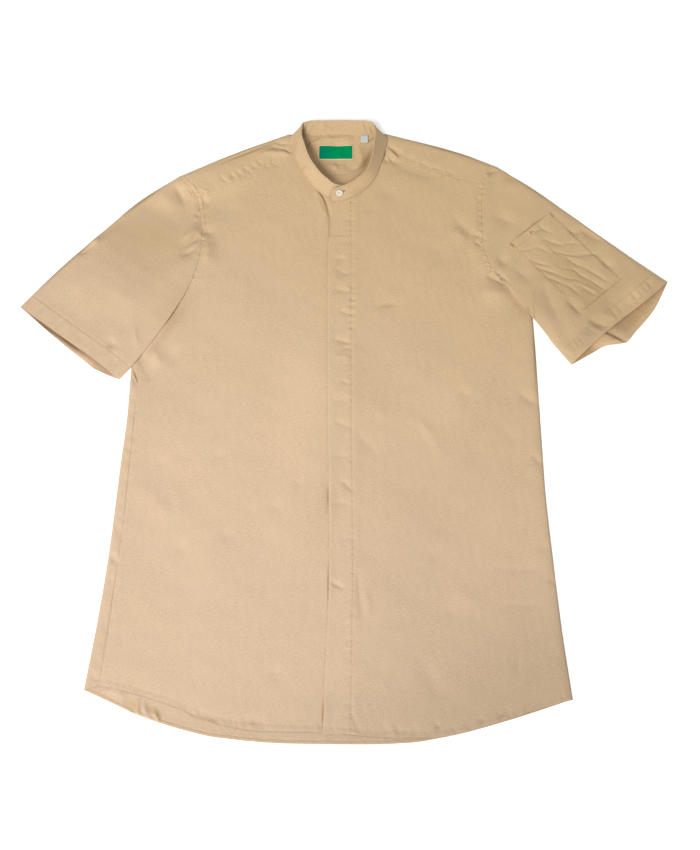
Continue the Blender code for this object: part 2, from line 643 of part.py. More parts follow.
def build():
    for old in list(bpy.data.objects):
        bpy.data.objects.remove(old, do_unlink=True)
    cloth('back_panel', back_rows())
    cloth('front_right', front_right_rows())
    panel = front_left_rows()
    cloth('front_left', panel)
    cloth('placket', placket_rows(panel, high=PLACKET_SEAM_Y - GAP))
    cloth('placket_top', placket_rows(panel, low=PLACKET_SEAM_Y))
    cloth('yoke', yoke_columns())
    cloth('sleeve_right', sleeve_rows(FRONT_ARM_LEFT, BACK_ARM_LEFT, SLEEVE_TOP_LEFT, SLEEVE_LOW_LEFT,
                                      UNDERARM_LEFT, CUFF_LEFT, CUFF_UNDER_LEFT, SIDE_LEFT), ring=True)
    cloth('sleeve_left', sleeve_rows(FRONT_ARM_RIGHT, BACK_ARM_RIGHT, SLEEVE_TOP_RIGHT, SLEEVE_LOW_RIGHT,
                                     UNDERARM_RIGHT, CUFF_RIGHT, CUFF_UNDER_RIGHT, SIDE_RIGHT), ring=True)
    cloth('sleeve_pocket', pocket_rows())
    cloth('collar_band', band_rows(), BAND_CLOTH)
    collar_button()
    flat_piece('neck_label', LABEL_SIZE, LABEL_CENTRE, CLOTH, LABEL_COLOUR)
    flat_piece('size_tag', TAG_SIZE, TAG_CENTRE, CLOTH, TAG_COLOUR)
    centre_on_origin()


build()
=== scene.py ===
"""Looks of the chef jacket: fine cloth surfaces round the CAD solids, stitches, materials, light and camera.

Millimetres and the CAD source's own tables are used while shapes are worked out; to_row()
turns them into metres in the row frame. X runs to the right seen from above, Y towards the
neck, Z up. Left and right in tables and functions are as seen from above; pieces are named by
the wearer's own side, as the CAD nodes are.
"""

import math

import bmesh
import bpy
import numpy as np
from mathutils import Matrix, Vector


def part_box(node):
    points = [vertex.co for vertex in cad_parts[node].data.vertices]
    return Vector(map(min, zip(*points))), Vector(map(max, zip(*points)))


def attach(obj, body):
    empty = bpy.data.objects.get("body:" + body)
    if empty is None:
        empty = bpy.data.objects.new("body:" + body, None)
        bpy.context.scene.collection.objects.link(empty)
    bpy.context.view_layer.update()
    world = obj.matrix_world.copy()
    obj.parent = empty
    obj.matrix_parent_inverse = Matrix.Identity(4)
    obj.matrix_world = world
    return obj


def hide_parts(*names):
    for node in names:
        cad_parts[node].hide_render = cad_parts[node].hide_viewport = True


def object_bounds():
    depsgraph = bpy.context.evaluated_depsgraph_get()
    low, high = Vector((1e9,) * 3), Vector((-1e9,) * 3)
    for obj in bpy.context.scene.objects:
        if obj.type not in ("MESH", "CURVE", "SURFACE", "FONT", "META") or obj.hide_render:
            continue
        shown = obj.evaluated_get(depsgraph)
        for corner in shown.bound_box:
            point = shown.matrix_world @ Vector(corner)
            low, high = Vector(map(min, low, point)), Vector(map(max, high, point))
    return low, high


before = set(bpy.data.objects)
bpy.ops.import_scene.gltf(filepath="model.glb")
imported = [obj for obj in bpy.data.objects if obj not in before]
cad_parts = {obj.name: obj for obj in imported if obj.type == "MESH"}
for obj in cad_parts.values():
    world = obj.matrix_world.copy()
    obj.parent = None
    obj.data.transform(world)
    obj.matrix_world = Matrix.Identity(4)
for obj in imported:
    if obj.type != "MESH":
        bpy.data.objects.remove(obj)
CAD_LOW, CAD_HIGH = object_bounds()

MM = 0.001

# ------------------------------------------------------------------ cloth and layers
CLOTH = 0.7                     # thickness of the shown cloth
ARM_STITCH = 5.0                # from the armhole seam to its row of stitches
PLACKET_STITCH = 1.2            # and from the strip's edge to its own
POCKET_STITCH = 1.5
POCKET_HEM = 10.0
FLAT_Z = CLOTH / 2              # middle height of cloth that lies on the floor
CAD_CLOTH = 1.0                 # wall of the CAD solids
CAD_BAND = 1.6
REST_Z = 1.8                    # CAD middle heights: the fronts at rest, and at their folds
FOLD_Z = 3.5
FOLD_REACH = 42.0
NECK_LIFT = 1.2
NECK_REACH = 34.0
PUFF = 1.35                     # air inside raises the shown fronts by this much
LAP_RISE = 1.45                 # the left front lies this much over the right one
LAP_FLAT = 11.0
LAP_SINK = 30.0
STRIP_RISE = 0.9                # and the covered placket's strip this much over the left front
STRIP_SINK = 14.0
SIDE_TURN = 11.0
ARMPIT_TURN = 2.0
PIECE_GAP = 0.3
SEAM_GAP = 0.12                 # between the shown edges along a seam
SIDE_GAP = 0.09
ROLL_REACH = 10.0               # the cloth rounds off towards a fold over this width
ROLL_PART = 0.65                # and sinks there by this part of its height
JOIN_LOW = 6.5                  # middle height of the armhole seam at the sleeve's lower fold
JOIN_HIGH = 5.1                 # and at the shoulder
JOIN_REACH = 26.0
SLEEVE_RISE = 3.3
SLEEVE_RISE_REACH = 45.0
SLEEVE_PUFF = 1.2
SLEEVE_UNDER = 5.0              # middle height of a sleeve's lower layer over the body
SLEEVE_UNDER_FLAT = 12.0
SLEEVE_UNDER_SINK = 15.0
CORNER_START = -0.1
CORNER_MARGIN = 4.0
POCKET_RISE = 0.95
POCKET_SINK = 0.8               # the sleeve gives way by this much behind the pocket
BAND_CLOTH = 1.3
BAND_CLEAR = 1.3
YOKE_NECK_RISE = 1.0
NECK_RISE = 3.3                 # the back of the yoke comes up to the band by this much
NECK_RISE_REACH = 17.0
NECK_TUCK = 2.2                 # and runs on into the band
BAND_CORNER = 6.0
BAND_HEIGHT = 24.0
BAND_CORNER_PART = 0.3
BUTTON_PLACE = 0.970
BUTTON_HEIGHT = 0.62
BUTTON_LIFT = 0.5                # its back over the band
BUTTON_FACE = 1.45               # the bottom of its dish over its back
HOLE_CIRCLE = 1.3
HEM = 7.0                       # depth of the body's narrow hem
BACK_HEM_DEPTH = 3.6            # the back's is narrower
HEM_SINK = 1.0                  # the fronts come down this much towards it
HEM_SINK_REACH = 30.0
SLEEVE_HEM = 22.0
CAD_LABEL_CENTRE = (-13.0, 381.5)
LABEL_SIZE = (48.5, 22.6)
LABEL_CENTRE = (-13.0, 382.1)
LABEL_RIM = 1.25
TAG_SIZE = (10.3, 9.8)
TAG_CENTRE = (27.0, 402.2)
LABEL_RISE = CLOTH / 2 + 0.2
TURNS = 8                       # steps round a fold
BACK_ROWS = 4.4                 # between the rows of the back panel's mesh

# ------------------------------------------------------------------ outlines, (x, y) rows
SIDE_LEFT = ((-318, -356), (-307, -277), (-297, -189), (-288, -66), (-283, -5), (-281, 66), (-276, 158))
SIDE_RIGHT = ((278, -368), (269, -286), (262, -195), (256, -101), (253, 29), (251, 110), (249, 152))
SEAM_LEFT = ((-300, -350), (-295, -323), (-282, -174), (-276, -89), (-271, 36), (-270, 80), (-271, 158))
FRONT_ARM_LEFT = ((-271, 158), (-238, 171), (-205, 190), (-197, 220), (-194, 253), (-197, 285), (-202, 312))
FRONT_ARM_RIGHT = ((249, 152), (232, 166), (212, 186), (195, 211), (187, 251), (187, 290), (191, 332))
FOLD_ROW = 2                    # the row of the two armhole tables where a sleeve's lower fold begins
BACK_ARM_LEFT = ((-276, 158), (-256, 184), (-231, 214), (-217, 250), (-213, 285), (-216, 316))
BACK_ARM_RIGHT = ((246.6, 152), (224, 180), (205, 214), (197, 250), (196, 290), (200, 326))
SHOULDER_LEFT = ((-229, 345), (-150, 382), (-78, 411))
SHOULDER_RIGHT = ((211, 359), (153, 383), (58, 411))
FRONT_HEM = ((-300, -350), (-270, -357), (-213, -374), (-159, -395), (-105, -405), (-26, -407), (57, -413),
             (106, -413), (171, -400), (230, -381), (278, -368))
BACK_HEM = ((-318, -356), (-291, -368), (-248, -387), (-198, -403), (-152, -413), (-66, -420), (24, -421),
            (78, -419), (140, -408), (204, -391), (267, -371))
YOKE_SEAM_LEFT = ((-202, 312), (-166, 332), (-137, 346), (-73, 381))
YOKE_SEAM_RIGHT = ((56, 378), (100, 363), (130, 350), (191, 332))
YOKE_SEAM_BACK = ((-216, 316), (-120, 337), (-8, 348), (105, 344), (200, 326))
NECKLINE_LEFT = ((-73, 381), (-64, 360), (-47, 333), (-35, 320), (-24, 312), (7, 313))
NECKLINE_RIGHT = ((56, 378), (50, 363), (42, 342), (28, 324), (9, 310))
BACK_NECK = ((-77, 409), (-67, 406), (-3, 408), (41, 407), (57, 409))
# The covered placket: the height, its folded edge and its stitched edge
PLACKET = ((-408, -26, 8), (-345, -24, 9), (-196, -19, 11), (16, -22, 9), (158, -23, 9), (251, -22, 9),
           (254, -19, 9), (303, -19, 9))
PLACKET_SEAM_Y = 252.5
PLACKET_CORNER = 6.0
UNDERLAP_X = 7.0
FRONT_EDGE_Y = -409.0
# The band: seam x, seam y, what the seam lies above, top edge x, top edge y, rise of the top edge
BAND = (
    (5, 314, 'right', 4, 322, 15.0),
    (-11, 313, 'right', -8, 322, 16.5),
    (-24, 312, 'right', -16, 324, 18.0),
    (-35, 320, 'right', -24, 331, 18.5),
    (-47, 333, 'right', -35, 342, 18.5),
    (-64, 360, 'right', -49, 365, 18.0),
    (-73, 381, 'right', -56, 386, 17.0),
    (-78, 402, 'right', -60, 404, 15.0),
    (-73, 408, 'yoke', -58, 418, 17.0),
    (-56, 406, 'yoke', -46, 422, 17.0),
    (-8, 407, 'yoke', -9, 422, 17.5),
    (34, 406, 'yoke', 27, 422, 17.0),
    (52, 408, 'yoke', 38, 418, 17.0),
    (59, 402, 'left', 42, 404, 15.0),
    (55, 381, 'left', 40, 384, 17.0),
    (49, 361, 'left', 35, 359, 18.0),
    (42, 342, 'left', 28, 342, 18.5),
    (28, 324, 'left', 16, 331, 18.0),
    (9, 310, 'top', 1, 321, 17.0),
    (-8, 305, 'top', -10, 317, 16.5),
    (-19, 303, 'top', -18, 314, 15.5),
)
SLEEVE_TOP_LEFT = (SHOULDER_LEFT[0], (-281, 308), (-319, 272), (-390, 200), (-434, 150))
SLEEVE_LOW_LEFT = ((-205, 190), (-219, 159), (-280, 65), (-296, 46))
UNDERARM_LEFT = ((-276, 158), (-304, 126), (-330, 62))
CUFF_LEFT = ((-434, 150), (-373, 104), (-323, 68), (-296, 46))
CUFF_UNDER_LEFT = ((-434, 150), (-376, 99), (-330, 62))
SLEEVE_TOP_RIGHT = (SHOULDER_RIGHT[0], (258, 326), (303, 290), (392, 218), (434, 186))
SLEEVE_LOW_RIGHT = ((212, 186), (234, 156), (278, 95), (299, 68))
UNDERARM_RIGHT = ((246.6, 152), (280, 124), (328, 85))
CUFF_RIGHT = ((434, 186), (406, 160), (348, 113), (299, 68))
CUFF_UNDER_RIGHT = ((434, 186), (413, 146), (386, 114), (371.5, 98.5), (345, 94), (328, 85))
POCKET = ((224, 242), (280, 287), (370, 187), (316, 142))

# ------------------------------------------------------------------ creases
RELIEF = 2.3                    # the tables' heights are taken this much stronger
RELIEF_LIMIT = 4.5
# x and y of both ends, sideways bow of the middle, half width, height (a trough is negative)
FRONT_CREASES = (
    (-222, 160, -242, 126, 0, 5, -2.2),
    (-281, 62, -270, 38, -3, 2.0, -2.4),
    (-272, 83, -261, 63, 1, 2.4, -1.6),
    (-212, 332, -200, 312, 1, 1.7, 1.0),
    (-207, 326, -198, 306, 1, 1.7, -1.0),
    (-203, 318, -194, 296, 1, 1.7, 0.9),
    (-191, 262, -185, 259, 0, 6, -2.5),
    (-185, 233, -186, 222, 0, 9, 2.5),
    (-198, 311, -185, 299, 0, 8, -1.5),
    (-168, 293, -157, 293, 0, 12, -1),
    (-273, 79, -255, 43, 4, 6, -3),
    (-257, 90, -243, 65, 2, 8, 1.7),
    (-236, 88, -220, 71, 0, 9, -1.5),
    (-39, 320, -24, 284, 3, 3.0, 2.0),
    (-36, 323, -19, 272, 3, 2.4, -2.4),
    (-23, -82, -22, -138, 1, 3, -0.8),
    (-272, -91, -215, -150, 4, 14, 1.2),
    (-150, -162, -148, -162, 0, 8, -0.9),
    (-121, -129, -119, -129, 0, 8, -0.7),
    (-88, -126, -84, -126, 0, 7, -0.7),
    (-163, -57, -160, -57, 0, 8, -0.6),
    (-226, -89, -206, -147, 5, 10, 0.8),
    (-208, -180, -206, -180, 0, 8, -0.9),
    (-61, -94, -59, -94, 0, 7, -0.8),
    (-235, -68, -233, -68, 0, 7, -0.6),
    (-87, -336, -84, -336, 0, 8, -0.8),
    (-196, -383, -177, -392, 0, 5, -1.0),
    (61, 373, 127, 343, -2, 6, -1.8),
    (55, 373, 59, 365, 0, 2.5, -1.5),
    (148, 284, 182, 245, -1, 8, -1.5),
    (147, 265, 166, 248, -1, 9, 1.3),
    (176, 259, 183, 251, 0, 2.5, -1.2),
    (176, 246, 184, 239, 0, 2.5, -1.2),
    (59, 317, 65, 314, 1, 12, -0.9),
    (126, 233, 130, 224, 2, 12, -0.9),
    (38, 152, 74, 152, -1, 6, -0.7),
    (189, 197, 220, 180, -1, 7, -4),
    (183, 177, 223, 171, -6, 14, 3),
    (86, -2, 125, -67, 8, 7, 0.55),
    (78, -12, 112, -66, 8, 8, -0.4),
    (30, 18, 54, -8, 2, 9, 0.7),
    (14, -20, 44, -56, -3, 6, -0.6),
    (201, -17, 220, -44, 1, 9, -0.6),
    (94, -318, 116, -373, 2, 10, -1.1),
    (17, -205, 22, -268, -1, 5, -0.9),
    (27, -235, 31, -266, 0, 4, 0.7),
    (144, -238, 156, -244, 0, 10, 0.7),
    (131, -261, 133, -261, 0, 6, -0.8),
    (154, 26, 156, 26, 0, 6, -0.8),
    (170, -53, 172, -53, 0, 7, -0.6),
    (112, -190, 114, -190, 0, 7, -0.5),
    (187, -204, 242, -207, -1, 4, -0.5),
    (193, -253, 250, -252, 1, 4, -0.45),
    (214, -313, 213, -341, 0, 3, -0.5),
    (228, 29, 253, 12, -2, 6, -1.3),
    (241, -56, 256, -74, 0, 5, -1.0),
    (241, -177, 262, -182, 0, 4, -0.6),
    (254, -221, 267, -224, 1, 4, -1.3),
    (9, -383, 20, -408, -1, 1.8, -1.4),
    (-297, -188, -286, -194, 0, 3, -1.8),
    (-190, 356, -100, 397, 0, 3, -0.6),
    (-196, -374, -189, -384, 1, 2.2, -1.5),
    (-187, -378, -182, -387, -1, 2.2, -1.7),
    (-178, -380, -172, -390, 1, 2.2, -1.3),
    (-170, -384, -163, -393, 0, 2.2, -1.6),
    (-161, -387, -154, -395, 1, 2.2, -1.2),
    (-121, -388, -117, -398, 0, 2.2, -1.4),
    (-111, -390, -106, -400, 1, 2.2, -1.6),
    (-102, -391, -98, -402, 0, 2.2, -1.2),
    (46, -396, 50, -408, 0, 2.2, -1.2),
    (62, -398, 66, -410, 1, 2.2, -1.3),
    (82, -398, 86, -411, 0, 2.2, -1.2),
    (111, -394, 114, -408, 0, 2.2, -1.5),
    (163, -386, 167, -398, 0, 2.2, -1.5),
    (186, -380, 190, -393, 1, 2.2, -1.3),
    (196, -376, 201, -389, 0, 2.2, -1.2),
    (-104, 391, -74, 381, 0, 2.8, -2.2),
    (-100, 397, -78, 393, 0, 2.5, -1.4),
    (-96, 388, -74, 376, 0, 2.2, 1.4),
    (-121, 378, -74, 374, 5, 4, 1.2),
    (-171, 344, -163, 335, 0, 2.5, -0.9),
    (-160, 350, -150, 341, 0, 2.5, -0.9),
    (-151, 353, -141, 343, 1, 2.5, -0.9),
    (-141, 360, -133, 350, 0, 2.5, -0.9),
    (-132, 364, -123, 355, 1, 2.5, -0.8),
    (-122, 369, -113, 361, 0, 2.5, -0.7),
    (60, 392, 80, 378, -1, 2.6, -2.2),
    (62, 386, 74, 372, -1, 2.2, 1.5),
    (60, 376, 72, 364, -1, 2.2, -1.4),
    (65, 381, 78, 375, 2, 3, -1.0),
    (83, 374, 98, 366, 2, 3, -1.0),
    (102, 366, 117, 358, 2, 3, -1.0),
    (119, 360, 132, 352, 1, 3, -0.8),
    (138, 353, 152, 346, 0, 3, -0.7),
    (115, 381, 133, 381, 0, 14, -0.8),
)
PLACKET_CREASES = (
    (-17, 219, 8, 221, -1, 4, -0.7),
    (-15, 205, 8, 193, 0, 4, -0.6),
    (-17, 174, 7, 171, 0, 4, -0.8),
    (-9, 145, 10, 138, -1, 3, -0.9),
    (-17, 103, 9, 96, 1, 4, -1.3),
    (-17, 79, 9, 77, 0, 6, 0.7),
    (-19, 17, 7, 14, 1, 6, -0.6),
    (-16, -11, 8, -20, 0, 4, -0.8),
    (-18, -58, 8, -59, 0, 5, -0.7),
    (-5, -91, 9, -105, 1, 4, -1.2),
    (-17, -122, 9, -122, 0, 6, -0.6),
    (-18, -222, 1, -231, -1, 2.5, -1.3),
    (3, 170, 18, 182, 0, 1.7, -0.9),
    (5, 160, 16, 160, 0, 1.7, -0.8),
    (4, 150, 19, 152, 0, 1.7, -0.9),
    (5, 138, 17, 140, 0, 1.7, -0.8),
    (5, 119, 19, 119, 0, 1.7, -1.0),
    (-4, 88, 10, 92, 0, 1.7, -0.8),
    (-8, 44, 8, 40, 0, 3, -0.6),
    (-18, 228, 7, 219, 1, 3, 0.3),
    (-16, 190, 7, 180, 1, 5, 0.4),
)
SLEEVE_CREASES_LEFT = (
    (-372, 205, -250, 150, -6, 34, 2.2),
    (-330, 262, -225, 205, -4, 26, -1.7),
    (-234, 330, -220, 298, 2, 6, -3),
    (-250, 322, -227, 294, -5, 12, 2),
    (-199, 265, -222, 245, 0, 5, 2),
    (-197, 257, -219, 235, 1, 5, -2),
    (-199, 244, -215, 230, 0, 4, 1.5),
    (-200, 239, -223, 223, 1, 5, -2.5),
    (-300, 281, -337, 253, -2, 7, -2.5),
    (-332, 247, -345, 242, -2, 6, 1.5),
    (-342, 238, -360, 223, -2, 6, -2),
    (-304, 101, -310, 88, -1, 5, -1.5),
    (-279, 122, -274, 90, 0, 4, 0.8),
)
SLEEVE_CREASES_RIGHT = (
    (199, 283, 234, 268, 3, 10, -1.8),
    (205, 220, 221, 211, 0, 9, -2),
    (232, 202, 242, 193, 0, 8, -1.2),
    (196, 350, 210, 353, 0, 3, -2),
    (221, 347, 237, 337, 0, 7, -1.5),
    (303, 262, 321, 259, -1, 4, -1.5),
    (344, 220, 362, 205, 0, 4, -1.3),
    (314, 268, 351, 244, 1, 6, -2),
    (267, 187, 286, 127, -3, 9, -1.4),
    (248, 173, 280, 115, -4, 10, 1.0),
    (323, 132, 349, 118, -1, 6, -2.2),
    (340, 141, 363, 130, -3, 6, 1.2),
    (295, 161, 315, 135, 2, 4, -2),
)
POCKET_CREASES = (
    (262, 271, 284, 257, -2, 2.0, -0.9),
    (250, 260, 275, 268, -2, 2.2, -0.8),
    (270, 249, 297, 239, -1, 2.0, -1.1),
    (296, 240, 320, 241, 2, 2.4, -0.8),
    (279, 232, 314, 223, -1, 2.0, -1.2),
    (312, 223, 348, 224, 3, 2.4, -1.0),
    (235, 231, 260, 238, -2, 1.8, -0.9),
    (258, 237, 277, 228, 1, 1.8, -0.9),
    (251, 217, 284, 208, -1, 2.0, -1.4),
    (282, 209, 312, 202, -1, 2.0, -1.2),
    (257, 207, 290, 194, 1, 1.8, -1.3),
    (288, 195, 314, 187, -1, 1.8, -1.0),
    (267, 194, 299, 179, 1, 1.8, -1.1),
    (296, 181, 315, 163, 2, 2.0, -1.1),
    (307, 204, 330, 187, -1, 1.8, -1.3),
    (327, 189, 348, 172, 1, 2.0, -1.1),
    (298, 222, 324, 205, -1, 1.8, -1.0),
    (321, 207, 356, 182, 1, 2.0, -1.2),
    (311, 183, 336, 164, 0, 2.0, -0.9),
    (262, 213, 320, 196, 1, 2.8, 0.9),
    (284, 229, 330, 213, 1, 3.0, 0.8),
    (300, 190, 340, 168, 0, 2.8, 0.8),
)
NECK_CREASES = (
    (-52, 392, -28, 401, 2, 3, 1.2),
    (-28, 401, 14, 399, 2, 3, 0.9),
    (-50, 400, -46, 376, -2, 4, -1.0),
    (-20, 366, -8, 349, 1, 3.5, 1.1),
    (0, 366, 16, 354, -2, 3.5, -1.0),
    (18, 392, 20, 366, 2, 4, 1.0),
    (-40, 366, -30, 352, 0, 4, -0.9),
)
HEM_FOLDS = (
    (-292, -356, -272, -362, 1, 3, 1.4),
    (-283, -352, -268, -366, 1, 4, 1.0),
    (-262, -360, -257, -384, 0, 2.5, -1.5),
    (-252, -364, -250, -388, 0, 1.6, 1.2),
    (-246, -372, -238, -392, 1, 2.4, 1.6),
    (-240, -370, -228, -380, 1, 2.4, -1.4),
    (-232, -378, -222, -397, -1, 2.2, 1.6),
    (-218, -384, -206, -396, 1, 2.2, -1.3),
)


# ------------------------------------------------------------------ curves
def ease(value):
    t = np.clip(value, 0.0, 1.0)
    return t * t * (3 - 2 * t)


def read(keys, values, places):
    """The CAD source's smooth curve through (keys, values), at many places."""
    keys = np.asarray(keys, float)
    values = np.asarray(values, float)
    step = np.diff(values) / np.diff(keys)
    product = step[:-1] * step[1:]
    same = product > 0
    inner = np.where(same, 2 * product / np.where(same, step[:-1] + step[1:], 1.0), 0.0)
    slope = np.concatenate([step[:1], inner, step[-1:]])
    at = np.clip(places, keys[0], keys[-1])
    i = np.clip(np.searchsorted(keys, at, side='right') - 1, 0, len(keys) - 2)
    width = keys[i + 1] - keys[i]
    t = (at - keys[i]) / width
    bend = width * (slope[i] * t * (1 - t) ** 2 - slope[i + 1] * t * t * (1 - t))
    return values[i] + (values[i + 1] - values[i]) * ease(t) + bend


def along_keys(points):
    p = np.asarray(points, float)
    return np.concatenate([[0.0], np.cumsum(np.linalg.norm(np.diff(p, axis=0), axis=1))])


def curve(points, places, by=None):
    """Points of the smooth curve at parts of its length, or of the coordinate named by its index."""
    p = np.asarray(points, float)
    keys = along_keys(p) if by is None else p[:, by]
    at = keys[0] + (keys[-1] - keys[0]) * np.asarray(places, float)
    return np.stack([read(keys, column, at) for column in p.T], axis=1)


def smooth(points, by=None, count=70):
    return curve(points, np.linspace(0, 1, count + 1), by)


def steps(points, coarse, fine=1.0, reach=14.0, start=True, end=True, marks=()):
    """Parts of a line from 0 to 1, close together near its ends and near the marks, which are lengths."""
    length = along_keys(points)[-1]
    s = np.linspace(0, length, int(length * 4) + 2)
    near = np.full(s.shape, reach)
    for place in ((0.0,) if start else ()) + ((length,) if end else ()) + tuple(marks):
        near = np.minimum(near, np.abs(s - place))
    size = fine + (coarse - fine) * ease(near / reach)
    total = np.concatenate([[0.0], np.cumsum(np.diff(s) * 2 / (size[:-1] + size[1:]))])
    count = max(2, round(total[-1]))
    return np.interp(np.linspace(0, total[-1], count + 1), total, s) / length


def joined(*parts):
    """Lines end to end; each starts where the one before ended."""
    return np.concatenate([parts[0]] + [p[1:] for p in parts[1:]])


def patch(bottom, top, left, right):
    """A grid of points that fills four edges. Bottom and top run left to right, the others upwards."""
    u = (along_keys(bottom) / along_keys(bottom)[-1] + along_keys(top) / along_keys(top)[-1]) / 2
    v = (along_keys(left) / along_keys(left)[-1] + along_keys(right) / along_keys(right)[-1]) / 2
    u = u[None, :, None]
    v = v[:, None, None]
    ruled = (1 - v) * bottom[None] + v * top[None] + (1 - u) * left[:, None] + u * right[:, None]
    corners = ((1 - v) * ((1 - u) * bottom[0] + u * bottom[-1])
               + v * ((1 - u) * top[0] + u * top[-1]))
    return ruled - corners


def nearest(line, x, y):
    """Distance from a row of straight pieces, and how far along it the nearest place is."""
    best = np.full(x.shape, np.inf)
    place = np.zeros(x.shape)
    start = 0.0
    for (ax, ay), (bx, by) in zip(line, line[1:]):
        dx, dy = bx - ax, by - ay
        length = math.hypot(dx, dy)
        t = np.clip(((x - ax) * dx + (y - ay) * dy) / length ** 2, 0, 1)
        gap = np.hypot(ax + t * dx - x, ay + t * dy - y)
        closer = gap < best
        best = np.where(closer, gap, best)
        place = np.where(closer, start + t * length, place)
        start += length
    return best, place


def offset(line, distance):
    """The line moved sideways, to its left when the distance is positive."""
    way = np.gradient(np.asarray(line, float), axis=0)
    way /= np.linalg.norm(way, axis=1)[:, None]
    return line + distance * np.stack([-way[:, 1], way[:, 0]], axis=1)


# ------------------------------------------------------------------ relief
def relief(x, y, creases):
    """Sum of soft troughs and ridges, each along a bowed line and fading out at its ends."""
    total = np.zeros(x.shape)
    for x0, y0, x1, y1, bow, width, height in creases:
        strong = math.copysign(min(RELIEF * abs(height) * (1 - 0.3 * ease((width - 5) / 4)), RELIEF_LIMIT), height)
        sharp = 1.15 + 0.5 * ease((width - 4) / 8)
        length = math.hypot(x1 - x0, y1 - y0)
        t = np.linspace(0, 1, 9)
        side = 4 * bow * t * (1 - t)
        line = np.stack([x0 + (x1 - x0) * t - side * (y1 - y0) / length,
                         y0 + (y1 - y0) * t + side * (x1 - x0) / length], axis=1)
        low = line.min(0) - 3 * width
        high = line.max(0) + 3 * width
        inside = (x > low[0]) & (x < high[0]) & (y > low[1]) & (y < high[1])
        if inside.any():
            gap, place = nearest(line, x[inside], y[inside])
            fade = 1.0
            if length > 2 * width:
                fade = 0.15 + 0.85 * np.sin(np.pi * np.clip(place / length, 0, 1))
            total[inside] += strong * np.exp(-(gap / width) ** sharp) * fade
    return total


def waves(x, y, shortest, longest, height, seed):
    """Uneven undulation between two wavelengths."""
    random = np.random.default_rng(seed)
    total = np.zeros(x.shape)
    count = 14
    for _ in range(count):
        length = math.exp(random.uniform(math.log(shortest), math.log(longest)))
        way = random.uniform(0, math.tau)
        phase = random.uniform(0, math.tau)
        total += np.sin(math.tau * (x * math.cos(way) + y * math.sin(way)) / length + phase)
    return total * height / math.sqrt(count / 2)


def ripple(s, spacing, seed):
    """Uneven ups and downs along a line, between about -1 and 1."""
    random = np.random.default_rng(seed)
    total = np.zeros(np.shape(s))
    for part in (0.7, 1.0, 1.6):
        drift = 1.4 * np.sin(math.tau * s / (spacing * part * 3.7) + random.uniform(0, math.tau))
        total += np.sin(math.tau * s / (spacing * part) + drift + random.uniform(0, math.tau))
    swell = 0.65 + 0.35 * np.sin(math.tau * s / (spacing * 6.3) + random.uniform(0, math.tau))
    return total / 3 * swell


def seam(x, y, line, inset, groove, pucker, spacing, reach, seed):
    """A stitched line at a distance from an edge: a groove, with small puckers to both sides of it."""
    gap, place = nearest(line, x, y)
    off = gap - inset
    puckers = pucker * ripple(place, spacing, seed) * np.exp(-(off / reach) ** 2)
    return puckers - groove * np.exp(-(off / 0.9) ** 2)


def pleats(gap, place, length, spacing, depth, width, reach, seed, lean=0.5, inset=0.0):
    """Short sharp creases across a seam, uneven in place, depth, length and lean."""
    random = np.random.default_rng(seed)
    total = np.zeros(gap.shape)
    off = gap - inset
    at = random.uniform(0.3, 1.0) * spacing
    while at < length:
        strong = random.uniform(0.35, 1.0) * depth * (1 if random.random() < 0.7 else -0.7)
        wide = width * random.uniform(0.7, 1.5)
        long = reach * random.uniform(0.5, 1.3)
        slant = random.uniform(-lean, lean)
        near = (np.abs(off) < 2.2 * long) & (np.abs(place - at) < 3 * wide + abs(slant) * 2.2 * long)
        across = (place[near] - at - slant * off[near]) / wide
        total[near] -= strong * np.exp(-across ** 2 - (off[near] / long) ** 2)
        at += spacing * random.uniform(0.45, 1.6)
    return total


def pleated(x, y, line, *sizes, **more):
    """Pleats along a line; see pleats."""
    gap, place = nearest(line, x, y)
    return pleats(gap, place, along_keys(line)[-1], *sizes, **more)


def rolled(z, low, gap):
    """Rounds an upper layer off towards its fold, at this distance from it."""
    t = 1 - np.clip(gap / ROLL_REACH, 0, 1)
    return z - ROLL_PART * (z - low) * (1 - np.sqrt(1 - 0.999 * t * t))


def soft_floor(z, low):
    """Keeps heights above a level, with a soft corner."""
    return low + 0.5 * (z - low + np.sqrt((z - low) ** 2 + 0.25))


# ------------------------------------------------------------------ heights of the body
FOLD_LINES = (SIDE_LEFT + FRONT_ARM_LEFT[1:] + SHOULDER_LEFT,
              SIDE_RIGHT + FRONT_ARM_RIGHT[1:] + SHOULDER_RIGHT)
BODY_ROLLS = (SIDE_LEFT, SIDE_RIGHT, SHOULDER_LEFT, SHOULDER_RIGHT)
NECK_LINES = (SHOULDER_LEFT[-1:] + NECKLINE_LEFT, SHOULDER_RIGHT[-1:] + NECKLINE_RIGHT + ((-19, 303),))
ARMHOLES = {
    'left': smooth(FRONT_ARM_LEFT[FOLD_ROW:] + SHOULDER_LEFT[:1]),
    'right': smooth(FRONT_ARM_RIGHT[FOLD_ROW:] + SHOULDER_RIGHT[:1]),
}
SEAMS = {
    'yoke left': smooth(YOKE_SEAM_LEFT),
    'yoke right': smooth(YOKE_SEAM_RIGHT),
    'yoke back': smooth(YOKE_SEAM_BACK, by=0),
    'front hem': smooth(FRONT_HEM, by=0, count=120),
    'back hem': smooth(BACK_HEM, by=0, count=120),
    'side': smooth(SEAM_LEFT, by=1),
    'neck left': smooth(NECKLINE_LEFT),
    'neck right': smooth(NECKLINE_RIGHT),
    'cuff left': smooth(CUFF_LEFT),
    'cuff right': smooth(CUFF_RIGHT),
    'cuff under left': smooth(CUFF_UNDER_LEFT),
    'cuff under right': smooth(CUFF_UNDER_RIGHT),
}


def placket_x(column, y):
    keys = [row[0] for row in PLACKET]
    return read(keys, [row[column] for row in PLACKET], y)


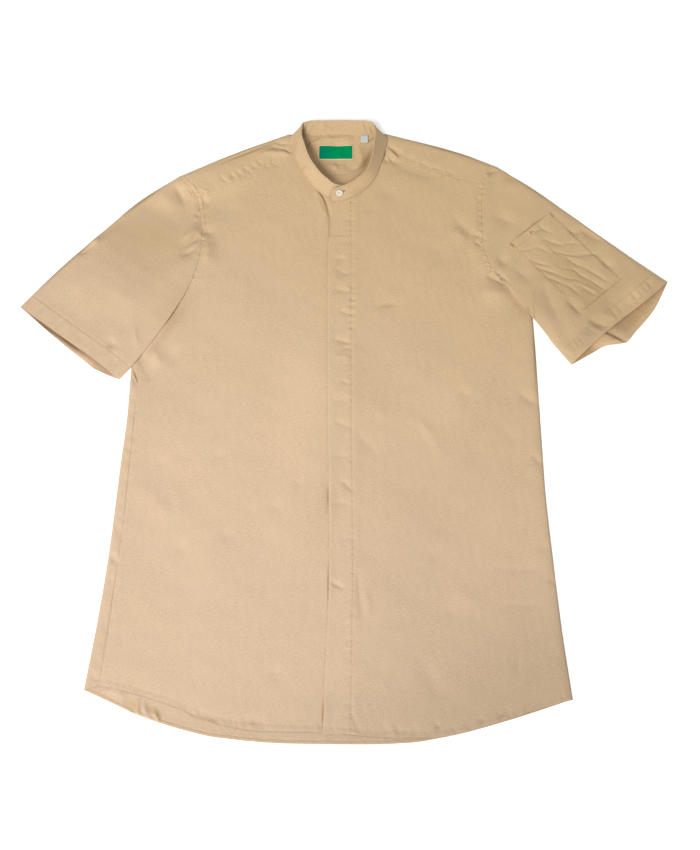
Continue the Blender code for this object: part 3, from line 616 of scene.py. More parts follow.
def cad_front(x, y):
    """Middle height of the CAD fronts."""
    folds = np.minimum(*[nearest(line, x, y)[0] for line in FOLD_LINES])
    necks = np.minimum(*[nearest(line, x, y)[0] for line in NECK_LINES])
    near_fold = 1 - ease(folds / FOLD_REACH)
    near_neck = 1 - ease(necks / NECK_REACH)
    return REST_Z + (FOLD_Z - REST_Z) * near_fold + NECK_LIFT * near_neck


def cad_left_front(x, y):
    return cad_front(x, y) + LAP_RISE * (1 - ease((x - LAP_FLAT) / LAP_SINK))


def arm_relief(gap, place, side):
    """The armhole seam's groove and the gathers across it, the same on the body and the sleeve."""
    gathers = pleats(gap, place, 190.0, 6.0, *ARM_GATHERS[side], 19 + (side == 'left'), lean=0.8)
    if side == 'left':
        middle = np.exp(-((place - 75) / 38) ** 2)
        gathers = gathers * (0.5 + middle) + pleats(gap, place, 120.0, 4.5, 1.6, 1.3, 8.0, 24, lean=1.2) * middle
    return gathers - 0.3 * np.exp(-(gap / 1.0) ** 2)


def join_height(place):
    """Height of the armhole seam, from the sleeve's lower fold up."""
    return JOIN_LOW + (JOIN_HIGH - JOIN_LOW) * ease(place / 110.0)


def body(x, y):
    """Middle height of the shown fronts, yoke front and side strip."""
    z = cad_front(x, y) + PUFF
    arms = {}
    for side, arm in (('left', FRONT_ARM_LEFT), ('right', FRONT_ARM_RIGHT)):
        arms[side] = nearest(ARMHOLES[side], x, y)
        gap, place = arms[side]
        above = ease((y - arm[FOLD_ROW][1] + 12) / 14)
        z += (join_height(place) - z) * (1 - ease(gap / JOIN_REACH)) * above
        z += relief(x, y, SLEEVES[side]['creases']) * (1 - ease(gap / SHARED)) * above
        z += arm_relief(gap, place, side)
        z += pleats(gap, place, 190.0, 4.6, ARM_BEADS[side], 1.1, 3.0, 29 + (side == 'left'), inset=ARM_STITCH * 0.5)
        z -= 0.3 * np.exp(-((gap - ARM_STITCH) / 0.9) ** 2)
    necks = np.minimum(nearest(NECK_LINES[0], x, y)[0], nearest(NECK_LINES[1], x, y)[0])
    calm = ease(necks / 12)
    z += calm * (waves(x, y, 90, 230, 0.40, 11) + waves(x, y, 26, 60, 0.13, 12) + waves(x, y, 9, 20, 0.06, 13))
    z += relief(x, y, FRONT_CREASES)
    z += seam(x, y, SEAMS['yoke left'], 0.0, 0.3, 0.15, 10.0, 8.0, 25)
    z += seam(x, y, SEAMS['yoke right'], 0.0, 0.3, 0.15, 13.0, 8.0, 26)
    z += pleated(x, y, SEAMS['yoke left'], 9.0, 1.4, 1.7, 6.5, 35, lean=0.9, inset=2.5)
    z += pleated(x, y, SEAMS['yoke right'], 12.0, 1.2, 1.8, 6.0, 36, lean=0.9, inset=2.0)
    z += seam(x, y, SEAMS['side'], 0.0, 0.4, 0.2, 26.0, 9.0, 27)
    z += pleated(x, y, SEAMS['side'], 22.0, 1.0, 2.0, 6.0, 37)
    beside = read([p[1] for p in SEAM_LEFT], [p[0] for p in SEAM_LEFT], y) - x
    z += pleated(x, y, SEAMS['side'], 13.0, 1.5, 3.2, 7.0, 39, inset=7.0) * ease(beside / 1.5)
    gap, place = nearest(SEAMS['front hem'], x, y)
    z += pleats(gap, place, 620.0, 12.0, 1.0, 2.0, 5.0, 38, inset=HEM * 0.8)
    dense = np.exp(-((place - 152) / 52) ** 4) + np.exp(-((place - 362) / 34) ** 4)
    z += pleats(gap, place, 420.0, 6.0, 1.7, 1.5, 4.0, 40, lean=0.9, inset=HEM) * dense
    z += 0.3 * (1 - ease((gap - HEM + 1.2) / 1.2)) - 0.3 * np.exp(-((gap - HEM) / 0.9) ** 2)
    z -= HEM_SINK * (1 - ease(gap / HEM_SINK_REACH))
    for line in BODY_ROLLS:
        z = rolled(z, FLAT_Z, nearest(line, x, y)[0])
    return soft_floor(z, CLOTH * 1.5 + 0.3)


def strip_top(x, y):
    """Middle height of the covered placket's outer strip."""
    z = body(x, y) + LAP_RISE + STRIP_RISE + 0.8 * relief(x, y, PLACKET_CREASES)
    edge = placket_x(1, y)
    stitched = placket_x(2, y)
    curl = np.exp(-((x - edge) / 7) ** 2)
    lifted = (np.exp(-((y + 122) / 22) ** 2) + 0.6 * np.exp(-((y + 222) / 30) ** 2)
              + 0.7 * np.exp(-((y + 385) / 18) ** 2))
    z += pleats(stitched - x, 310 - y, 720.0, 11.0, 0.7, 2.0, 9.0, 32, lean=0.6)
    z += 0.28 * ripple(y, 13.0, 31) * np.exp(-((x - stitched) / 9) ** 2)
    z -= 0.22 * np.exp(-((x - stitched + PLACKET_STITCH) / 1.0) ** 2)
    return z + curl * (0.25 + 1.8 * lifted) - 0.45 * (1 - ease((x - edge) / 1.6))


def left_front(x, y):
    """The left front passes under the strip, and comes level with it beyond the stitching."""
    stitched = placket_x(2, y)
    beside = x - stitched
    lap = LAP_RISE * (1 - ease((x - LAP_FLAT) / LAP_SINK))
    outer = ease((beside - 0.04) / 0.06)
    level = (STRIP_RISE - 0.15) * (1 - ease(beside / STRIP_SINK)) * outer
    z = body(x, y) + lap + level + 0.8 * relief(x, y, PLACKET_CREASES) * (1 - ease(beside / 12))
    z += pleats(np.abs(beside), 310 - y, 720.0, 11.0, 0.7, 2.0, 5.0, 32, lean=0.6) * outer
    return z + 0.28 * ripple(y, 13.0, 31) * np.exp(-(beside / 9) ** 2) * outer


# ------------------------------------------------------------------ heights of the sleeves
def beyond(side, arm, line, x, y):
    """How far a point lies from the line, or 0 over the body below the armhole."""
    armpit, corner = side[-1], arm[FOLD_ROW]
    sign = -1 if armpit[0] < 0 else 1
    edge = read([p[1] for p in side], [p[0] for p in side], y)
    inward = (x - armpit[0]) / (corner[0] - armpit[0])
    seam_y = armpit[1] + inward * (corner[1] - armpit[1])
    over = (inward >= CORNER_START) & (y <= seam_y + CORNER_MARGIN)
    over |= (sign * (x - edge) <= 0) & (y <= armpit[1])
    return np.where(over, 0.0, nearest(line, x, y)[0])


INSIDE_RISE = 1.7               # the lower layer's edge stands this much off the floor in a cuff
CUFF_STEP = ((338, 118), (372, 98))     # a fold of the lower layer inside the right cuff
SHARED = 14.0                   # creases beside an armhole run on over it by this much
# depth, width and reach of the gathers along each armhole
ARM_BEADS = {'left': 0.6, 'right': 1.7}
ARM_GATHERS = {'left': (1.1, 1.2, 7.0), 'right': (0.9, 1.1, 4.5)}
SLEEVES = {
    'left': dict(side=SIDE_LEFT, arm=FRONT_ARM_LEFT, back_arm=BACK_ARM_LEFT, top=SLEEVE_TOP_LEFT,
                 low=SLEEVE_LOW_LEFT, underarm=UNDERARM_LEFT, cuff=CUFF_LEFT, cuff_under=CUFF_UNDER_LEFT,
                 creases=SLEEVE_CREASES_LEFT, lift=4.6, seed=41),
    'right': dict(side=SIDE_RIGHT, arm=FRONT_ARM_RIGHT, back_arm=BACK_ARM_RIGHT, top=SLEEVE_TOP_RIGHT,
                  low=SLEEVE_LOW_RIGHT, underarm=UNDERARM_RIGHT, cuff=CUFF_RIGHT,
                  cuff_under=CUFF_UNDER_RIGHT, creases=SLEEVE_CREASES_RIGHT + POCKET_CREASES, lift=6.0, seed=51),
}


def sleeve_under(x, y, which):
    """Middle height of a sleeve's lower layer: on the floor, or over the body's side."""
    s = SLEEVES[which]
    clear = beyond(s['side'], s['arm'], s['side'], x, y)
    z = FLAT_Z + (SLEEVE_UNDER - FLAT_Z) * (1 - ease((clear - SLEEVE_UNDER_FLAT) / SLEEVE_UNDER_SINK))
    return z


def sleeve_over(x, y, which):
    """Middle height of a sleeve's upper layer."""
    s = SLEEVES[which]
    clear = beyond(s['side'], s['arm'], s['side'] + (s['arm'][FOLD_ROW],), x, y)
    z = FOLD_Z + SLEEVE_PUFF * ease(clear / 40) + SLEEVE_RISE * (1 - ease(clear / SLEEVE_RISE_REACH))
    gap, place = nearest(ARMHOLES[which], x, y)
    z += (join_height(place) - z) * (1 - ease(gap / JOIN_REACH))
    line = SEAMS['cuff ' + which]
    length = along_keys(line)[-1]
    from_cuff, across = nearest(line, x, y)
    mouth = np.sin(np.pi * np.clip(across / length, 0, 1))
    z += s['lift'] * mouth * (1 - ease(from_cuff / 75))
    folds = [nearest(smooth(s[key], count=30), x, y)[0] for key in ('top', 'low')]
    calm = ease(np.minimum(*folds) / 14) * ease(gap / 14)
    z += calm * (waves(x, y, 80, 200, 0.4, s['seed']) + waves(x, y, 22, 55, 0.2, s['seed'] + 1))
    z += relief(x, y, s['creases']) + relief(x, y, FRONT_CREASES) * (1 - ease(gap / SHARED))
    z += arm_relief(gap, place, which)
    z += pleats(from_cuff, across, length, 7.5, 1.4, 1.5, 8.0, s['seed'] + 3, lean=0.3, inset=SLEEVE_HEM * 0.6)
    z -= 0.35 * np.exp(-((from_cuff - SLEEVE_HEM) / 0.9) ** 2)
    z += 0.3 * (1 - ease((from_cuff - SLEEVE_HEM + 1.2) / 1.2))
    under = sleeve_under(x, y, which)
    for distance in folds:
        z = rolled(z, under, distance)
    return np.maximum(z, under + CLOTH + 0.25)


def under_pocket(x, y):
    """From 0 at the pocket's edge to 1 well inside it."""
    inside = np.full(x.shape, np.inf)
    for (ax, ay), (bx, by) in zip(POCKET, POCKET[1:] + POCKET[:1]):
        inside = np.minimum(inside, ((x - ax) * (ay - by) + (y - ay) * (bx - ax)) / -math.dist((ax, ay), (bx, by)))
    return ease((inside - 2) / 6)


def pocket_top(x, y):
    """The patch pocket follows the sleeve, and is gathered into creases of its own."""
    line = np.array(POCKET, float)
    z = sleeve_over(x, y, 'right') - 0.25 * relief(x, y, POCKET_CREASES) + POCKET_RISE
    mouth, _ = nearest(line[:2], x, y)
    z += 0.7 * (1 - ease(mouth / 6)) + 0.25 * (1 - ease((mouth - POCKET_HEM + 1.2) / 1.2))
    z -= 0.3 * np.exp(-((mouth - POCKET_HEM) / 0.9) ** 2)
    edge, place = nearest(line[[1, 2, 3, 0]], x, y)
    z += pleats(edge, place, 335.0, 7.0, 0.8, 1.1, 5.0, 47, inset=POCKET_STITCH)
    z -= 0.25 * np.exp(-((edge - POCKET_STITCH) / 0.8) ** 2)
    middle = np.stack([(line[0] + line[1]) / 2, (line[2] + line[3]) / 2])
    divide, place = nearest(middle, x, y)
    z += pleats(divide, place, 134.0, 9.0, 0.9, 1.2, 6.0, 48, lean=0.8)
    z -= 0.35 * np.exp(-(divide / 0.9) ** 2)
    return np.maximum(z, sleeve_over(x, y, 'right') + CLOTH + 0.1)


def back_inside(x, y):
    """Middle height of the back panel's upper side; its hem is gathered where it shows."""
    from_hem, place = nearest(SEAMS['back hem'], x, y)
    pucker = np.abs(ripple(place, 17.0, 71)) * np.exp(-((from_hem - BACK_HEM_DEPTH) / 6) ** 2)
    rough = (0.8 * pucker + relief(x, y, HEM_FOLDS)) * ease(from_hem / 1.5)
    rough += pleats(from_hem, place, 610.0, 10.0, -1.0, 1.6, 4.0, 72, inset=BACK_HEM_DEPTH)
    beyond_hem = from_hem - BACK_HEM_DEPTH
    hem = 0.4 * (1 - ease(beyond_hem / 1.2 + 1)) - 0.25 * np.exp(-(beyond_hem / 0.9) ** 2)
    near_yoke = 0.5 * (1 - ease((nearest(SEAMS['yoke back'], x, y)[0]) / 12))
    return FLAT_Z + np.maximum(rough + hem + 0.3, 0.0) + near_yoke


def yoke_back(x, y):
    """Middle height of the yoke's lower layer; it comes up to the band at the back of the neck."""
    gap = nearest(smooth(BACK_NECK, by=0), x, y)[0]
    rise = NECK_RISE * (1 - ease(gap / NECK_RISE_REACH))
    inside = ease((x + 80) / 15) * ease((62 - x) / 15)
    free = ease(nearest(SEAMS['yoke back'], x, y)[0] / 10)
    rough = 0.8 + free * (0.8 + waves(x, y, 14, 40, 0.3, 61) + 1.5 * relief(x, y, NECK_CREASES))
    return FLAT_Z + inside * (rise + np.maximum(rough, 0.0))


# ------------------------------------------------------------------ meshes
def to_row(points):
    """Table millimetres to metres in the row frame."""
    return (np.asarray(points, float) + SHIFT) * MM


LABEL_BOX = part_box('neck_label')
SHIFT = np.array([(LABEL_BOX[0].x + LABEL_BOX[1].x) / 2 / MM - CAD_LABEL_CENTRE[0],
                  (LABEL_BOX[0].y + LABEL_BOX[1].y) / 2 / MM - CAD_LABEL_CENTRE[1], 0.0])


def mesh_piece(name, verts, faces, paint, replaces=(), uv=None):
    mesh = bpy.data.meshes.new(name)
    mesh.from_pydata(to_row(verts).tolist(), [], faces.tolist() if hasattr(faces, 'tolist') else faces)
    if uv is not None:
        layer = mesh.uv_layers.new(name='weave')
        corners = np.zeros(len(mesh.loops), np.int32)
        mesh.loops.foreach_get('vertex_index', corners)
        layer.data.foreach_set('uv', (uv[corners] * MM).astype(np.float32).ravel())
    mesh.materials.append(paint)
    mesh.shade_smooth()
    made = bpy.data.objects.new(name, mesh)
    bpy.context.scene.collection.objects.link(made)
    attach(made, 'root')
    if replaces:
        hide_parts(*replaces)
    return made


def crisp_rim(mesh):
    """Marks the open edges sharp, so that the wall there doesn't shade the cloth beside it."""
    edges = np.zeros(len(mesh.loops), np.int32)
    mesh.loops.foreach_get('edge_index', edges)
    mesh.edges.foreach_set('use_edge_sharp', np.bincount(edges, minlength=len(mesh.edges)) == 1)


def cloth(name, grid, replaces, thickness=CLOTH, ring=False, paint=None, uv=None):
    """A thin shell through a grid of middle points. A point that isn't a number leaves a hole."""
    rows, width = grid.shape[:2]
    index = np.arange(rows * width).reshape(rows, width)
    if ring:
        index = np.concatenate([index, index[:, :1]], axis=1)
    faces = np.stack([index[:-1, :-1], index[:-1, 1:], index[1:, 1:], index[1:, :-1]], -1).reshape(-1, 4)
    flat = grid.reshape(-1, 3)
    good = np.isfinite(flat).all(axis=1)
    faces = faces[good[faces].all(axis=1)]
    used, faces = np.unique(faces, return_inverse=True)
    faces = faces.reshape(-1, 4)
    if uv is None:
        uv = grid[:, :, :2]
    made = mesh_piece(name, flat[used], faces, paint or COTTON, replaces, uv.reshape(-1, 2)[used])
    if thickness == CLOTH:
        crisp_rim(made.data)
    wall = made.modifiers.new('wall', 'SOLIDIFY')
    wall.thickness = thickness * MM
    wall.offset = 0
    wall.use_even_offset = False
    return made


def fold(edge, inner, low, high):
    """Rows of points round a soft fold, from its upper layer to its lower one."""
    radius = (high - low) / 2
    out = edge - inner
    out = out / np.linalg.norm(out, axis=1)[:, None]
    angle = np.linspace(0, np.pi, TURNS + 1)[None, :]
    back = radius[:, None] * (1 - np.sin(angle))
    xy = edge[:, None] - out[:, None] * back[:, :, None]
    z = low[:, None] + radius[:, None] * (1 + np.cos(angle))
    return np.concatenate([xy, z[:, :, None]], axis=2)


def lifted(xy, z):
    return np.concatenate([xy, z[..., None]], axis=-1)


def spread_uv(grid, anchor):
    """Places on the cut cloth: x and y on the flat, carried on evenly round the folds beside it."""
    length = np.linalg.norm(np.diff(np.nan_to_num(grid), axis=1), axis=2)
    along = np.concatenate([np.zeros((len(grid), 1)), np.cumsum(length, axis=1)], axis=1)
    u = grid[:, anchor, 0][:, None] + along - along[:, anchor][:, None]
    return np.stack([u, grid[:, :, 1]], axis=-1)


# ------------------------------------------------------------------ body panels
def arm_side(side, arm, tip):
    """A front's side and armhole from the hem up, and the row where the armpit is."""
    low = curve(side, steps(side, 3.1, end=False), by=1)
    corner = curve(arm[:FOLD_ROW + 1], steps(arm[:FOLD_ROW + 1], 2.6, start=False, end=False), by=1)
    rest = arm[FOLD_ROW:] + (tip,)
    keys = along_keys(rest)
    upper = curve(rest, steps(arm[FOLD_ROW:], 1.9, start=False) * keys[-2] / keys[-1])
    return joined(low, corner, upper), len(low) - 1


def rising(levels, low, high, place):
    heights = low + (high - low) * (levels[:, 1] - levels[0, 1]) / (levels[-1, 1] - levels[0, 1])
    return np.stack([place(heights), heights], axis=1)


def hem_row(hem, first, last, parts):
    x = first + (last - first) * parts
    return np.stack([x, read([p[0] for p in hem], [p[1] for p in hem], x)], axis=1)


def top_row(first, second, share):
    """Two lines end to end, and the parts of the hem's width that their points stand over."""
    a, b = steps(first, 2.0), steps(second, 1.9)
    line = joined(curve(first, a), curve(second, b))
    return line, np.concatenate([a * share, share + b[1:] * (1 - share)])


def front_right():
    side, _ = arm_side(SEAM_LEFT, FRONT_ARM_LEFT, SHOULDER_LEFT[0])
    middle = rising(side, FRONT_EDGE_Y, NECKLINE_LEFT[-1][1], lambda y: np.full(y.shape, UNDERLAP_X))
    top, parts = top_row(YOKE_SEAM_LEFT, NECKLINE_LEFT, 6 / 11)
    hem = hem_row(FRONT_HEM, SEAM_LEFT[0][0], UNDERLAP_X, parts)
    hem[-1] = middle[0]
    flat = patch(hem, top, side, middle)
    z = body(flat[..., 0], flat[..., 1])
    return cloth('front_right_cloth', lifted(flat, z), ['front_right'])


def front_left():
    side, armpit = arm_side(SIDE_RIGHT, FRONT_ARM_RIGHT, SHOULDER_RIGHT[0])
    seam_y = NECKLINE_RIGHT[-1][1]
    stitched = rising(side, FRONT_EDGE_Y, seam_y, lambda y: placket_x(2, y))
    top, parts = top_row(NECKLINE_RIGHT[::-1], YOKE_SEAM_RIGHT, 5 / 11)
    hem = hem_row(FRONT_HEM, stitched[0][0], SIDE_RIGHT[0][0], parts)
    hem[0] = stitched[0]
    hem[-1] = side[0]
    flat = patch(hem, top, stitched, side)
    y = flat[:, 0, 1].copy()
    edge = np.stack([placket_x(1, y) + 0.4, y], axis=1)
    edge[-1, 1] -= PLACKET_CORNER
    part = np.linspace(0, 1, 12)[None, :-1, None]
    flat[:, 0] += np.array([0.1, 0.0])
    beside = flat[:, :1] - np.array([0.08, 0.0])
    under = edge[:, None] * (1 - part) + beside * part
    under = np.concatenate([under, beside], axis=1)
    flat = np.concatenate([under, flat], axis=1)
    z = left_front(flat[..., 0], flat[..., 1])
    grid = lifted(flat, z)
    low = np.full(len(flat), FLAT_Z)
    turn = fold(flat[:, -1], flat[:, -2], low, z[:, -1])
    rows = np.arange(len(flat))
    width = np.where(rows < armpit, SIDE_TURN, ARMPIT_TURN)
    parts = np.array([0.35, 0.7, 1.0])
    under_x = turn[:, -1:, 0] + (flat[:, -1:, 0] - width[:, None] - turn[:, -1:, 0]) * parts
    inner = np.stack([under_x, np.repeat(turn[:, -1:, 1], 3, 1), np.full(under_x.shape, FLAT_Z)], -1)
    anchor = grid.shape[1] // 2
    turn[armpit + 1:, 0] = grid[armpit + 1:, -1]
    grid = np.concatenate([grid[:, :-1], turn, inner], axis=1)
    grid[armpit + 1:, -TURNS - 3:] = np.nan
    return cloth('front_left_cloth', grid, ['front_left'], uv=spread_uv(grid, anchor))


def strip(name, low, high, replaces):
    """The placket's outer strip between two heights."""
    y = low + (high - low) * steps(((0, low), (0, high)), 1.8)
    across = np.concatenate([np.linspace(0, 0.25, 9), np.linspace(0.3, 0.85, 12), np.linspace(0.88, 1, 6)])
    x0, x1 = placket_x(1, y)[:, None], placket_x(2, y)[:, None]
    x = x0 + (x1 - x0) * across[None]
    yy = np.repeat(y[:, None], x.shape[1], axis=1)
    return cloth(name, lifted(np.stack([x, yy], -1), strip_top(x, yy)), replaces)


def back_panel():
    left_low = curve(SIDE_LEFT, steps(SIDE_LEFT, BACK_ROWS, reach=20.0, end=False), by=1)
    armpit = len(left_low) - 1
    arm_parts = steps(BACK_ARM_LEFT, 7.0, start=False, end=False)
    left = joined(left_low, curve(BACK_ARM_LEFT, arm_parts, by=1))
    inner = tuple((x - SIDE_TURN - PIECE_GAP, y) for x, y in SIDE_RIGHT)
    right = joined(curve(inner, steps(SIDE_LEFT, BACK_ROWS, reach=20.0, end=False), by=1),
                   curve(BACK_ARM_RIGHT, arm_parts, by=1))
    parts = steps(BACK_HEM, 3.2, marks=(50.0, 72.0, 92.0))
    hem = hem_row(BACK_HEM, left[0][0], right[0][0], parts)
    hem[0] = left[0]
    hem[-1] = right[0]
    flat = patch(hem, curve(YOKE_SEAM_BACK, parts, by=0), left, right)
    grid = lifted(flat, back_inside(flat[..., 0], flat[..., 1]))
    seam_line = curve(SEAM_LEFT, steps(SIDE_LEFT, BACK_ROWS, reach=20.0, end=False), by=1)
    strip_edge = seam_line - np.array([SIDE_GAP, 0.0])
    full = np.concatenate([strip_edge, np.repeat(strip_edge[-1:], len(left) - len(strip_edge), 0)])
    upper_z = body(left[:, 0], left[:, 1])
    turn = fold(left, flat[:, 1], np.full(len(left), FLAT_Z), upper_z)
    part = np.linspace(0, 1, 9)[None, :-1, None]
    strip_xy = full[:, None] * (1 - part) + turn[:, :1, :2] * part
    strip_z = body(strip_xy[..., 0], strip_xy[..., 1])
    grid = np.concatenate([lifted(strip_xy, strip_z), turn, grid[:, 1:]], axis=1)
    grid[armpit + 1:, :8 + TURNS] = np.nan
    return cloth('back_cloth', grid, ['back_panel'], paint=COTTON_BACK, uv=spread_uv(grid, 8 + TURNS + 3))


def yoke_half(seam_points, back_points, shoulder, arm, up_parts, low_parts):
    """Columns over one shoulder, from the front seam to the back seam."""
    parts = steps(seam_points, 1.6)
    front = curve(seam_points, parts) + np.array([0.0, SEAM_GAP])
    back = back_points(parts) + np.array([0.0, SEAM_GAP])
    edge = curve(shoulder, parts)
    inner = np.stack([(front[:, 0] + back[:, 0]) / 2, front[:, 1]], axis=1)
    high = body(edge[:, 0], edge[:, 1])
    turn = fold(edge, inner, yoke_back(edge[:, 0], edge[:, 1]), high)
    start, end = turn[:, :1, :2], turn[:, -1:, :2]
    up = up_parts[None, :-1, None]
    upper = front[:, None] * (1 - up) + start * up
    rest = arm[FOLD_ROW:] + (shoulder[0],)
    share = along_keys(rest)[-2] / along_keys(rest)[-1]
    bowed = curve(rest, share + (1 - share) * up_parts[:-1])
    armward = 1 - ease(np.abs(front[:, 0] - arm[-1][0]) / 25)
    upper += armward[:, None, None] * (bowed - bowed[0] - up[0] * (np.array(rest[-1]) - bowed[0]))[None]
    down = low_parts[None, 1:, None]
    lower = end * (1 - down) + back[:, None] * down
    return np.concatenate([lifted(upper, body(upper[..., 0], upper[..., 1])), turn,
                           lifted(lower, yoke_back(lower[..., 0], lower[..., 1]))], axis=1)


def yoke():
    up_parts = steps(((0, 0), (0, 32)), 1.6, reach=8.0, end=False)
    low_parts = steps(((0, 0), (0, 45)), 3.0, start=False)
    share = 6 / 18
    left = yoke_half(YOKE_SEAM_LEFT, lambda p: curve(YOKE_SEAM_BACK, p * share, by=0), SHOULDER_LEFT,
                     FRONT_ARM_LEFT, up_parts, low_parts)
    right = yoke_half(YOKE_SEAM_RIGHT[::-1], lambda p: curve(YOKE_SEAM_BACK, 1 - p * share, by=0),
                      SHOULDER_RIGHT, FRONT_ARM_RIGHT, up_parts, low_parts)
    parts = steps(BACK_NECK, 2.5)
    neck = curve(BACK_NECK, parts, by=0)[1:-1] + np.array([0.0, NECK_TUCK])
    foot = curve(YOKE_SEAM_BACK, share + (1 - 2 * share) * parts[1:-1], by=0) + np.array([0.0, SEAM_GAP])
    down = low_parts[None, :, None]
    xy = neck[:, None] * (1 - down) + foot[:, None] * down
    lower = lifted(xy, yoke_back(xy[..., 0], xy[..., 1]))
    empty = np.full((len(neck), left.shape[1] - lower.shape[1], 3), np.nan)
    middle = np.concatenate([empty, lower], axis=1)
    return cloth('yoke_cloth', np.concatenate([left, middle, right[::-1]]), ['yoke'], paint=COTTON_BACK)


# ------------------------------------------------------------------ sleeves
def sleeve(which, name, node):
    """Rings of a flat tube from the armhole to the cuff."""
    s = SLEEVES[which]
    sign = 1 if which == 'right' else -1
    shift = np.array([sign * SEAM_GAP, 0.0])
    tip = s['top'][0]
    arm_line = s['arm'][FOLD_ROW:] + (tip,)
    arm_parts = steps(arm_line, 2.3)
    start = curve(arm_line, arm_parts)[::-1] + shift
    top_length = along_keys(s['top'])[-1]
    down = steps(s['top'], 2.2, marks=(top_length - SLEEVE_HEM,), reach=9.0)
    top_line, low_line, seam_line = (curve(s[k], down) for k in ('top', 'low', 'underarm'))
    top_line[0] = start[0]
    low_line[0] = start[-1]
    seam_line[0] = s['underarm'][0] + shift
    over = patch(start, curve(s['cuff'], 1 - arm_parts[::-1]), top_line, low_line)
    back_line = s['back_arm'] + (tip,)
    back_parts = steps(back_line, 4.0)
    back_start = curve(back_line, back_parts)[::-1] + shift
    main = patch(back_start, curve(s['cuff_under'], 1 - back_parts[::-1]), top_line, seam_line)
    across = np.linspace(0, 1, 9)[:, None]
    gusset_end = s['cuff_under'][-1] * (1 - across) + np.array(s['cuff'][-1]) * across
    gusset_start = seam_line[0] * (1 - across) + low_line[0] * across
    gusset = patch(gusset_start, gusset_end, seam_line, low_line)
    z_over = sleeve_over(over[..., 0], over[..., 1], which)
    if which == 'right':
        z_over -= POCKET_SINK * under_pocket(over[..., 0], over[..., 1])
    under = np.concatenate([gusset[:, -2:0:-1], main[:, :0:-1]], axis=1)
    z_under = sleeve_inside(under[..., 0], under[..., 1], which)
    folds = []
    for column, nxt in ((-1, -2), (0, 1)):
        edge = over[:, column]
        low = sleeve_under(edge[:, 0], edge[:, 1], which)
        folds.append(fold(edge, over[:, nxt], low, z_over[:, column]))
    ring = [lifted(over[:, 1:-1], z_over[:, 1:-1]), folds[0], lifted(under, z_under), folds[1][:, ::-1]]
    grid = np.concatenate(ring, axis=1)
    around = np.linalg.norm(np.diff(grid, axis=1), axis=2)
    outward = np.linalg.norm(np.diff(grid, axis=0), axis=2)
    u = np.concatenate([np.zeros((len(grid), 1)), np.cumsum(around, axis=1)], axis=1)
    v = np.concatenate([np.zeros((1, grid.shape[1])), np.cumsum(outward, axis=0)], axis=0)
    made = cloth(name, grid, [node], ring=True, uv=np.stack([u, v], -1))
    # The lower layer's faces take the copy of the cloth with painted shade inside the cuffs.
    made.data.materials.append(COTTON_INSIDE)
    first = over.shape[1] - 2 + TURNS
    column = np.arange(len(made.data.polygons)) % grid.shape[1]
    inner = (column > first) & (column < first + under.shape[1])
    made.data.polygons.foreach_set('material_index', inner.astype(np.int32))
    return made


def inside_relief(xy, which):
    """Relief of the lower layer where it shows inside the cuff."""
    x, y = xy[..., 0], xy[..., 1]
    line = SEAMS['cuff under ' + which]
    from_cuff, place = nearest(line, x, y)
    mouth = 1 - ease((from_cuff - 30) / 30)
    z = 0.25 * (1 + ripple(place, 11.0, 81)) * mouth * ease(from_cuff / 6)
    ends = np.sin(np.pi * np.clip(place / along_keys(line)[-1], 0, 1)) ** 0.5
    z += INSIDE_RISE * ends * np.exp(-(from_cuff / 7.0) ** 2)
    if which == 'right':
        (ax, ay), (bx, by) = CUFF_STEP
        beside = ((y - ay) * (bx - ax) - (x - ax) * (by - ay)) / math.hypot(bx - ax, by - ay)
        z += mouth * 3.4 * ease(-beside / 2.2) * (1 - ease((-beside - 6) / 26)) * ease((from_cuff + 4) / 10)
        z += mouth * 1.6 * (1 - ease((beside - 4) / 18)) * ease(beside / 10)
    return z


def pocket():
    a, b, c, d = POCKET
    across = steps((a, b), 1.5, fine=0.8, marks=(math.dist(a, b) / 2,))
    down = steps((b, c), 1.3, fine=0.8, marks=(POCKET_HEM,))
    line = {pair: curve(pair, part) for pair, part in (((a, b), across), ((d, c), across),
                                                       ((a, d), down), ((b, c), down))}
    flat = patch(line[(a, b)], line[(d, c)], line[(a, d)], line[(b, c)])
    z = pocket_top(flat[..., 0], flat[..., 1])
    return cloth('pocket_cloth', lifted(flat, z), ['sleeve_pocket'])


# ------------------------------------------------------------------ collar
def band_point():
    """The band's length, and a function for its points: along it, and from seam to top edge."""
    clear = CAD_CLOTH / 2 + BAND_CLEAR
    seam_rows, top_rows = [], []
    for x, y, kind, top_x, top_y, rise in BAND:
        px, py = np.array([float(x)]), np.array([float(y)])
        z = {'right': cad_front, 'left': cad_left_front, 'top': cad_left_front,
             'yoke': lambda p, q: np.array([CAD_CLOTH / 2 + YOKE_NECK_RISE])}[kind](px, py)[0] + clear
        z += CAD_CLOTH + PIECE_GAP if kind == 'top' else 0.0
        seam_rows.append((x, y, z))
        top_rows.append((top_x, top_y, z + rise))
    seam_rows, top_rows = np.array(seam_rows), np.array(top_rows)
    keys = along_keys(seam_rows)

    def point(place, height):
        low = np.stack([read(keys, column, place) for column in seam_rows.T], -1)
        high = np.stack([read(keys, column, place) for column in top_rows.T], -1)
        return low + (high - low) * np.asarray(height)[..., None]
    return keys[-1], point


BAND_LENGTH, band = band_point()


